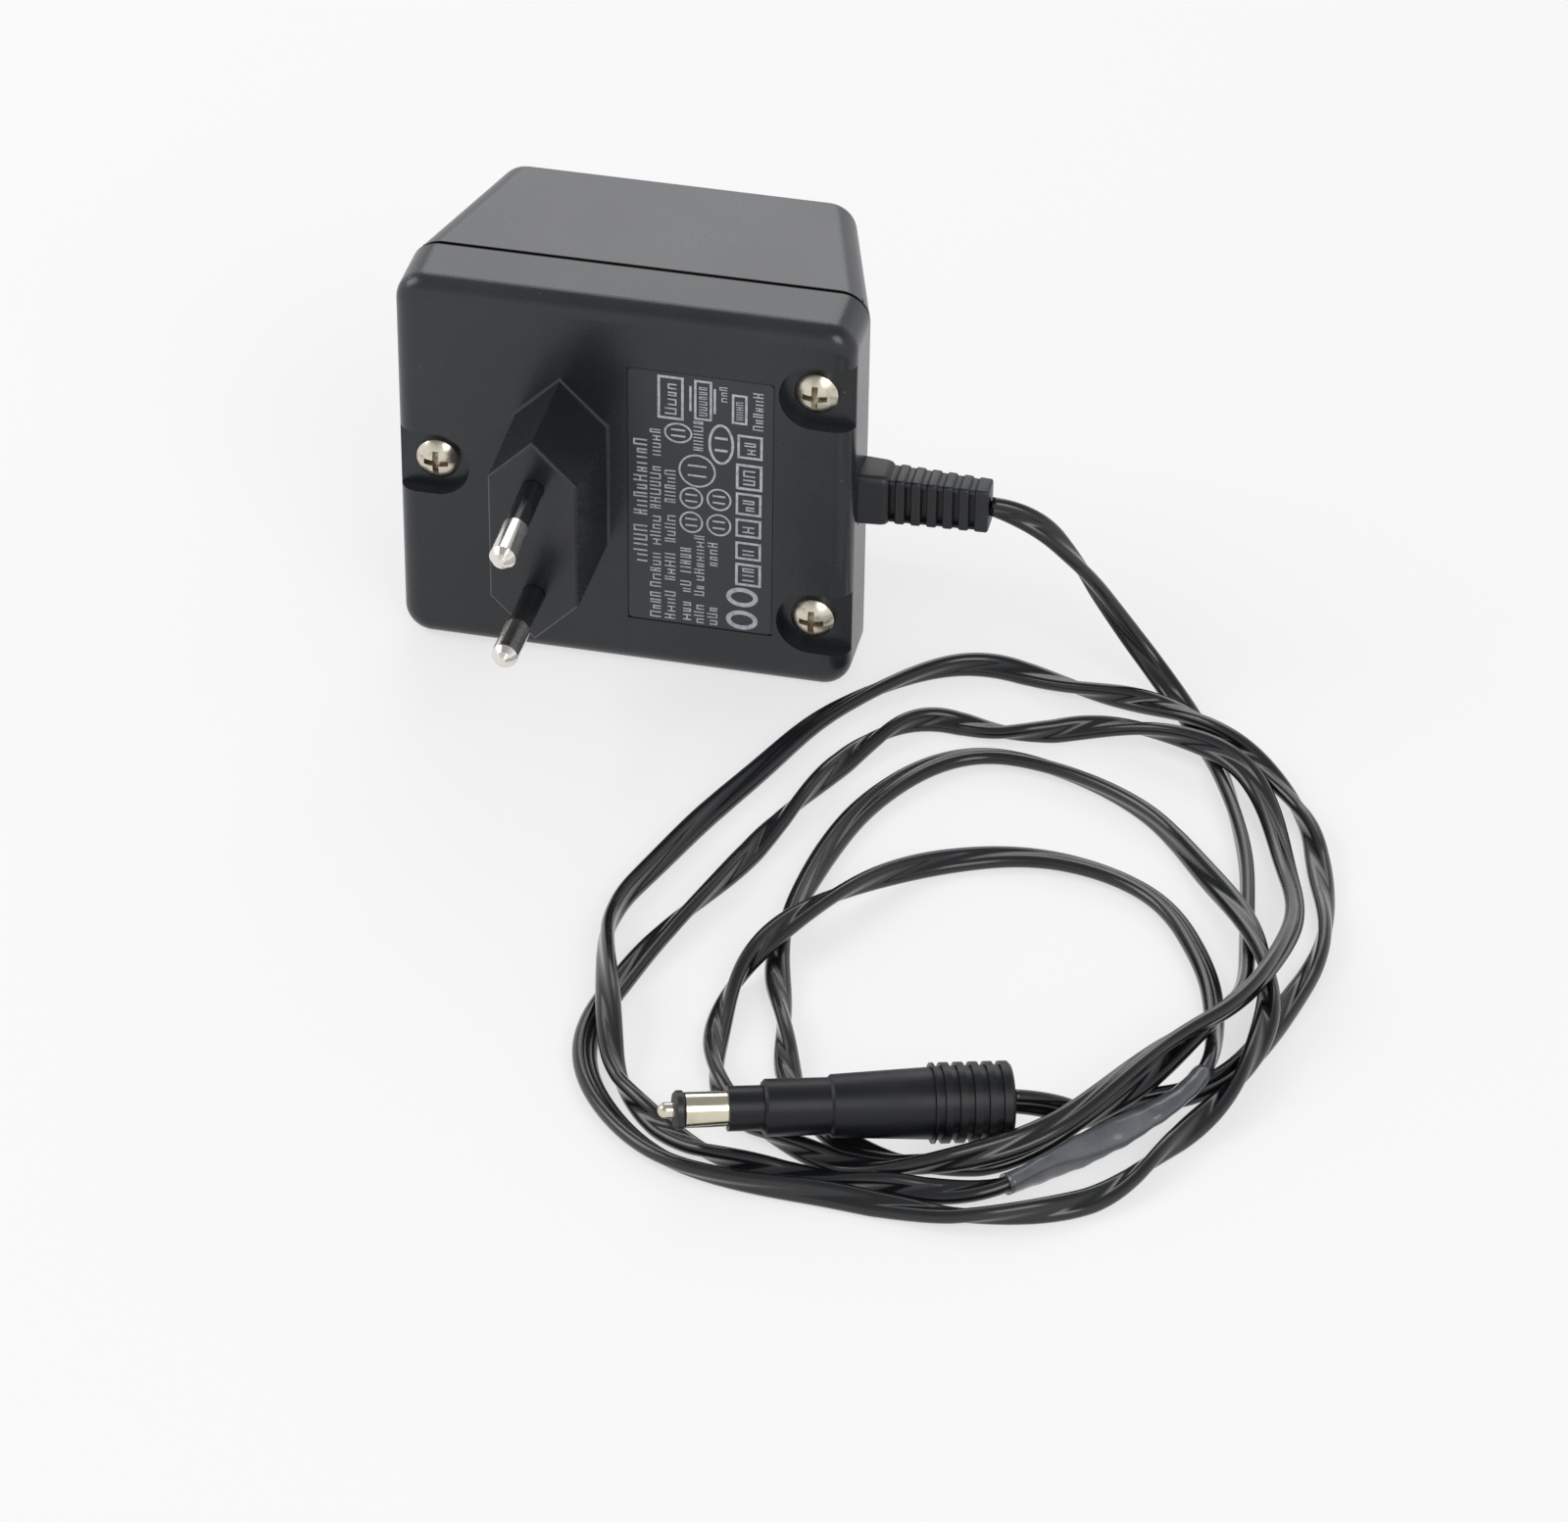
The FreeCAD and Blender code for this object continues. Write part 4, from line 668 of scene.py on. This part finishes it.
def boss_fillet(material):
    """Hollow rounding where the boss meets the front face."""
    rings = [boss_ring(BOSS_DRAFT - FILLET_SUNK, -FILLET_SUNK), boss_ring(BOSS_DRAFT + FILLET, -FILLET_SUNK)]
    for i in range(FILLET_STEPS + 1):
        turn = math.pi / 2 * i / FILLET_STEPS
        rings.append(boss_ring(BOSS_DRAFT + FILLET * (1 - math.sin(turn)), FILLET * (1 - math.cos(turn))))
    rings.append(boss_ring(BOSS_DRAFT - FILLET_SUNK, FILLET))
    mesh = loft_rings("boss_fillet", rings, cap=False)
    mesh.set_sharp_from_angle(angle=FILLET_SHARP)
    new_piece("boss_fillet", mesh, material)


# ---------------------------------------------------------------- label print, in mm from its lower left corner
LABEL_WORDS = [
    # (middle across, lowest, highest, height of the row)
    (1.85, 10.6, 17.6, 2.15), (1.85, 19.2, 33.0, 2.15),
    (4.2, 0.6, 5.2, 1.7), (4.2, 6.2, 12.6, 1.7), (4.2, 14.0, 19.4, 1.7), (4.2, 20.6, 28.2, 1.7),
    (4.2, 30.2, 35.0, 1.7),
    (6.5, 0.6, 6.6, 1.7), (6.5, 7.8, 13.6, 1.7), (6.5, 14.8, 20.6, 1.7), (6.5, 22.0, 28.4, 1.7),
    (8.95, 0.8, 4.6, 1.7), (8.95, 6.0, 8.2, 1.7), (8.95, 9.6, 14.9, 1.7),
    (11.05, 0.5, 4.6, 1.6), (11.05, 5.6, 7.4, 1.6), (11.05, 8.4, 16.6, 1.6),
    (13.15, 0.5, 4.4, 1.6), (13.15, 11.4, 15.6, 1.6), (10.85, 32.0, 37.2, 1.5), (20.05, 36.9, 43.8, 1.6),
    (14.7, 41.2, 43.8, 1.2),
]
LABEL_RINGS = [
    # (across, up, half width, half height, line)
    (9.8, 18.9, 1.85, 1.95, 0.3), (9.8, 23.3, 1.85, 1.95, 0.3), (10.7, 28.3, 2.9, 2.95, 0.3),
    (14.1, 19.0, 1.95, 2.0, 0.3), (14.1, 23.6, 1.95, 2.0, 0.3), (14.4, 33.6, 2.0, 3.6, 0.42),
    (7.75, 34.7, 2.2, 1.8, 0.3), (17.8, 2.1, 2.5, 1.75, 0.75), (17.8, 6.3, 2.5, 1.75, 0.75),
]
LABEL_FRAMES = [
    # (left, low, width, height, line)
    (4.55, 37.0, 4.05, 7.6, 0.4), (10.2, 37.5, 2.75, 7.0, 0.35), (16.7, 8.5, 4.05, 4.1, 0.42),
    (16.7, 13.3, 4.0, 3.2, 0.38), (16.7, 17.4, 4.0, 3.3, 0.38), (16.7, 21.4, 4.0, 4.0, 0.38),
    (16.7, 26.0, 4.1, 4.6, 0.42), (16.9, 31.6, 3.9, 4.2, 0.38), (16.0, 37.6, 2.4, 5.2, 0.36),
]
LABEL_BARS = [
    # (left, low, width, height)
    (9.45, 38.9, 0.35, 4.4), (13.2, 38.9, 0.35, 4.4),
]
PRINT_SEED = 11
INK_THICKNESS = 0.03 * MM
RING_STEPS = 28
# rings with a thinner line than this hold two bars, at these shares of their half height
BARRED_LINE = 0.5
RING_BARS = (-0.3, 0.3)
# shares of a row's height: stroke, widths of the blocks, space between them, least room and what short blocks lack
STROKE = 0.125
BLOCK_WIDTHS = (0.4, 0.52, 0.52, 0.62)
BLOCK_SPACE = 0.27
LEAST_ROOM = 0.3
SHORTER = 0.26
# chances that a block is as high as its row, and that it has a crossbar
TALL_CHANCE = 0.6
CROSSBAR_CHANCE = 0.75


def label_print(material):
    """Generic print on the label: rows of small blocks that run upwards, and round and square marks."""
    low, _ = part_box("rating_label")
    mesh = bpy.data.meshes.new("label_print")
    bm = bmesh.new()
    rng = random.Random(PRINT_SEED)

    def slab(corners):
        front = [bm.verts.new((low.x + x * MM, low.y - INK_THICKNESS, low.z + z * MM)) for x, z in corners]
        back = [bm.verts.new((low.x + x * MM, low.y, low.z + z * MM)) for x, z in corners]
        bm.faces.new(front)
        bm.faces.new(list(reversed(back)))
        for i in range(len(corners)):
            after = (i + 1) % len(corners)
            bm.faces.new((front[i], back[i], back[after], front[after]))

    def bar(x, z, width, height):
        slab([(x, z), (x + width, z), (x + width, z + height), (x, z + height)])

    def block_row(middle, lowest, highest, tall):
        """One word: blocks of uneven shape side by side, each as high as the row or a little less."""
        at = lowest
        stroke = tall * STROKE
        foot = middle + tall / 2
        while at < highest - tall * LEAST_ROOM:
            wide = min(tall * rng.choice(BLOCK_WIDTHS), highest - at)
            head = middle - tall / 2 + (0.0 if rng.random() < TALL_CHANCE else tall * SHORTER)
            bar(head, at, foot - head, stroke)
            if wide > stroke * 2.2:
                bar(head, at + wide - stroke, foot - head, stroke)
                if rng.random() < CROSSBAR_CHANCE:
                    crossbar = rng.choice((head, (head + foot) / 2 - stroke / 2, foot - stroke))
                    bar(crossbar, at + stroke, stroke, wide - stroke * 2)
            at += wide + tall * BLOCK_SPACE

    def ring_mark(x, z, half_width, half_height, line):
        for i in range(RING_STEPS):
            a = 2 * math.pi * i / RING_STEPS
            b = 2 * math.pi * (i + 1) / RING_STEPS
            slab([
                (x + math.cos(turn) * (half_width - less), z + math.sin(turn) * (half_height - less))
                for turn, less in ((a, 0.0), (b, 0.0), (b, line), (a, line))
            ])
        if line < BARRED_LINE:
            for shift in RING_BARS:
                bar(x - half_width * 0.5, z + half_height * shift - line / 2, half_width, line)

    def frame_mark(left, lower, width, height, line):
        bar(left, lower, width, line)
        bar(left, lower + height - line, width, line)
        bar(left, lower + line, line, height - line * 2)
        bar(left + width - line, lower + line, line, height - line * 2)
        block_row(left + width / 2, lower + line * 2.2, lower + height - line * 2, width * 0.45)

    for draw, rows in (
        (block_row, LABEL_WORDS), (ring_mark, LABEL_RINGS), (frame_mark, LABEL_FRAMES), (bar, LABEL_BARS),
    ):
        for row in rows:
            draw(*row)
    bmesh.ops.recalc_face_normals(bm, faces=bm.faces)
    bm.to_mesh(mesh)
    bm.free()
    new_piece("label_print", mesh, material)


# ---------------------------------------------------------------- stage
FLOOR_HALF = 4.0
FLOOR_DROP = 0.02 * MM
# the lit floor, and the even white that it shows to seen rays by the glow's share
FLOOR_COLOR = (0.93, 0.93, 0.935)
FLOOR_WHITE = (0.985, 0.98, 0.99)
FLOOR_GLOW = 0.66
WORLD_LEVEL = 0.8
# colours of the studio round the part: level with the floor, and overhead, and the heights between which they change
WORLD_LOW = (0.97, 0.98, 1.0)
WORLD_HIGH = (0.4, 0.405, 0.415)
WORLD_RISE = (0.25, 0.8)
# (name, place, size, power) of the soft lamps, which all point at the middle of the part
LAMPS = (
    ("back_softbox", (-0.12, 0.95, 0.74), 0.7, 2.8),
    ("left_softbox", (-0.85, -0.1, 0.75), 0.6, 4.5),
    ("fill", (0.6, -0.75, 0.8), 0.6, 4.5),
)
LAMP_AIM = (0.04, -0.02, 0.03)


def add_floor():
    """White floor that keeps a light shadow."""
    mesh = bpy.data.meshes.new("floor")
    corners = [(x * FLOOR_HALF, y * FLOOR_HALF, 0) for x, y in ((-1, -1), (1, -1), (1, 1), (-1, 1))]
    mesh.from_pydata(corners, [], [(0, 1, 2, 3)])
    floor = bpy.data.objects.new("floor", mesh)
    floor.location.z = -FLOOR_DROP
    bpy.context.scene.collection.objects.link(floor)
    made = Shader("floor_white", FLOOR_COLOR, 0.6, Specular_IOR_Level=0.2)
    glow = made.node("ShaderNodeEmission", Color=FLOOR_WHITE)
    mixed = made.node("ShaderNodeMixShader", Fac=made.math("MULTIPLY", made.seen_ray(), FLOOR_GLOW))
    made.link(made.bsdf.outputs["BSDF"], mixed.inputs[1])
    made.link(glow.outputs["Emission"], mixed.inputs[2])
    made.link(mixed.outputs["Shader"], made.tree.nodes["Material Output"].inputs["Surface"])
    mesh.materials.append(made.material)


def add_light():
    """Studio that is darker overhead, and the soft lamps."""
    world = bpy.data.worlds.new("studio")
    bpy.context.scene.world = world
    world.use_nodes = True
    sky = Nodes(world.node_tree)
    background = sky.tree.nodes["Background"].inputs
    height = sky.split(sky.node("ShaderNodeTexCoord").outputs["Generated"])["Z"]
    sky.fill(background["Color"], sky.mix(sky.ramp(height, *WORLD_RISE), WORLD_LOW, WORLD_HIGH))
    sky.fill(background["Strength"], sky.ramp(sky.seen_ray(), 0.0, 1.0, WORLD_LEVEL, 1.0))
    for name, spot, size, power in LAMPS:
        data = bpy.data.lights.new(name, "AREA")
        data.shape = "SQUARE"
        data.size = size
        data.energy = power
        lamp = bpy.data.objects.new(name, data)
        lamp.location = spot
        lamp.rotation_mode = "QUATERNION"
        lamp.rotation_quaternion = (Vector(LAMP_AIM) - Vector(spot)).to_track_quat("-Z", "Y")
        bpy.context.scene.collection.objects.link(lamp)
    bpy.context.scene.view_settings.view_transform = "Standard"


# ---------------------------------------------------------------- the part
PLUG_EDGE = 0.15 * MM

add_camera()
# the last number of each housing finish is its level of dusting and painted sheen on upward faces
cover_black = housing_finish("cover_black", (0.0115, 0.0135, 0.0165), (0.018, 0.0205, 0.0245), 0.25, 0.04)
dress(cover_black, "front_cover")
boss_fillet(cover_black)
rear_black = housing_finish("rear_black", (0.0125, 0.0145, 0.0175), (0.019, 0.0215, 0.0255), 0.28, 0.25)
dress(rear_black, "rear_housing")
pin_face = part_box("pin_sleeve_upper")[1].y
pin_nickel = plated_finish("pin_nickel", (0.78, 0.75, 0.69), 0.17, (0.6, 0.55, 0.45), root=pin_face)
dress(pin_nickel, "mains_pin_upper", "mains_pin_lower")
dress(smooth_finish("pin_sleeve_black", (0.009, 0.0095, 0.011), 0.2), "pin_sleeve_upper", "pin_sleeve_lower")
dress(screw_finish(), "cover_screw_left", "cover_screw_upper", "cover_screw_lower")
dress(film_finish(), "rating_label")
relief = make_relief(smooth_finish("relief_black", (0.008, 0.009, 0.0105), 0.42))
dress(smooth_finish("plug_black", (0.006, 0.0065, 0.008), 0.4, 0.3), "plug_body", bevel=PLUG_EDGE)
plug_nickel = plated_finish("plug_nickel", (0.66, 0.61, 0.48), 0.16, (0.45, 0.38, 0.23))
dress(plug_nickel, "plug_barrel", "plug_contact")
dress(smooth_finish("plug_ring_black", (0.012, 0.012, 0.012), 0.4), "plug_tip_ring")
iron = layered_finish("core_iron", (0.2, 0.2, 0.21), 0.45, 0.9, 300.0, (1.0, 12.0, 1.0), 0.08 * MM, 0.6)
dress(iron, "core_e_stack", "core_i_stack")
copper = layered_finish("copper_turns", (0.6, 0.26, 0.12), 0.35, 0.8, 400.0, (1.0, 1.0, 9.0), 0.12 * MM, 0.7)
dress(copper, "primary_winding", "secondary_winding")
dress(smooth_finish("yellow_tape", (0.62, 0.46, 0.07), 0.35), "winding_tape_primary", "winding_tape_secondary")
dress(smooth_finish("bobbin_nylon", (0.6, 0.56, 0.44), 0.5), "bobbin")
dress(smooth_finish("fuse_brown", (0.3, 0.13, 0.05), 0.45), "thermal_fuse")
dress(
    smooth_finish("lead_red", (0.35, 0.02, 0.015), 0.35), "primary_lead_upper", "primary_lead_fuse",
    "primary_lead_lower", "secondary_lead_upper", "secondary_lead_lower",
)
make_cord(
    cord_finish("cord_black", (0.006, 0.0065, 0.0075), 0.27, (0.011, 0.0115, 0.0125)),
    cord_finish("splice_grey", (0.085, 0.092, 0.102), 0.34, (0.17, 0.18, 0.19)),
)
label_print(ink_finish())
add_floor()
add_light()
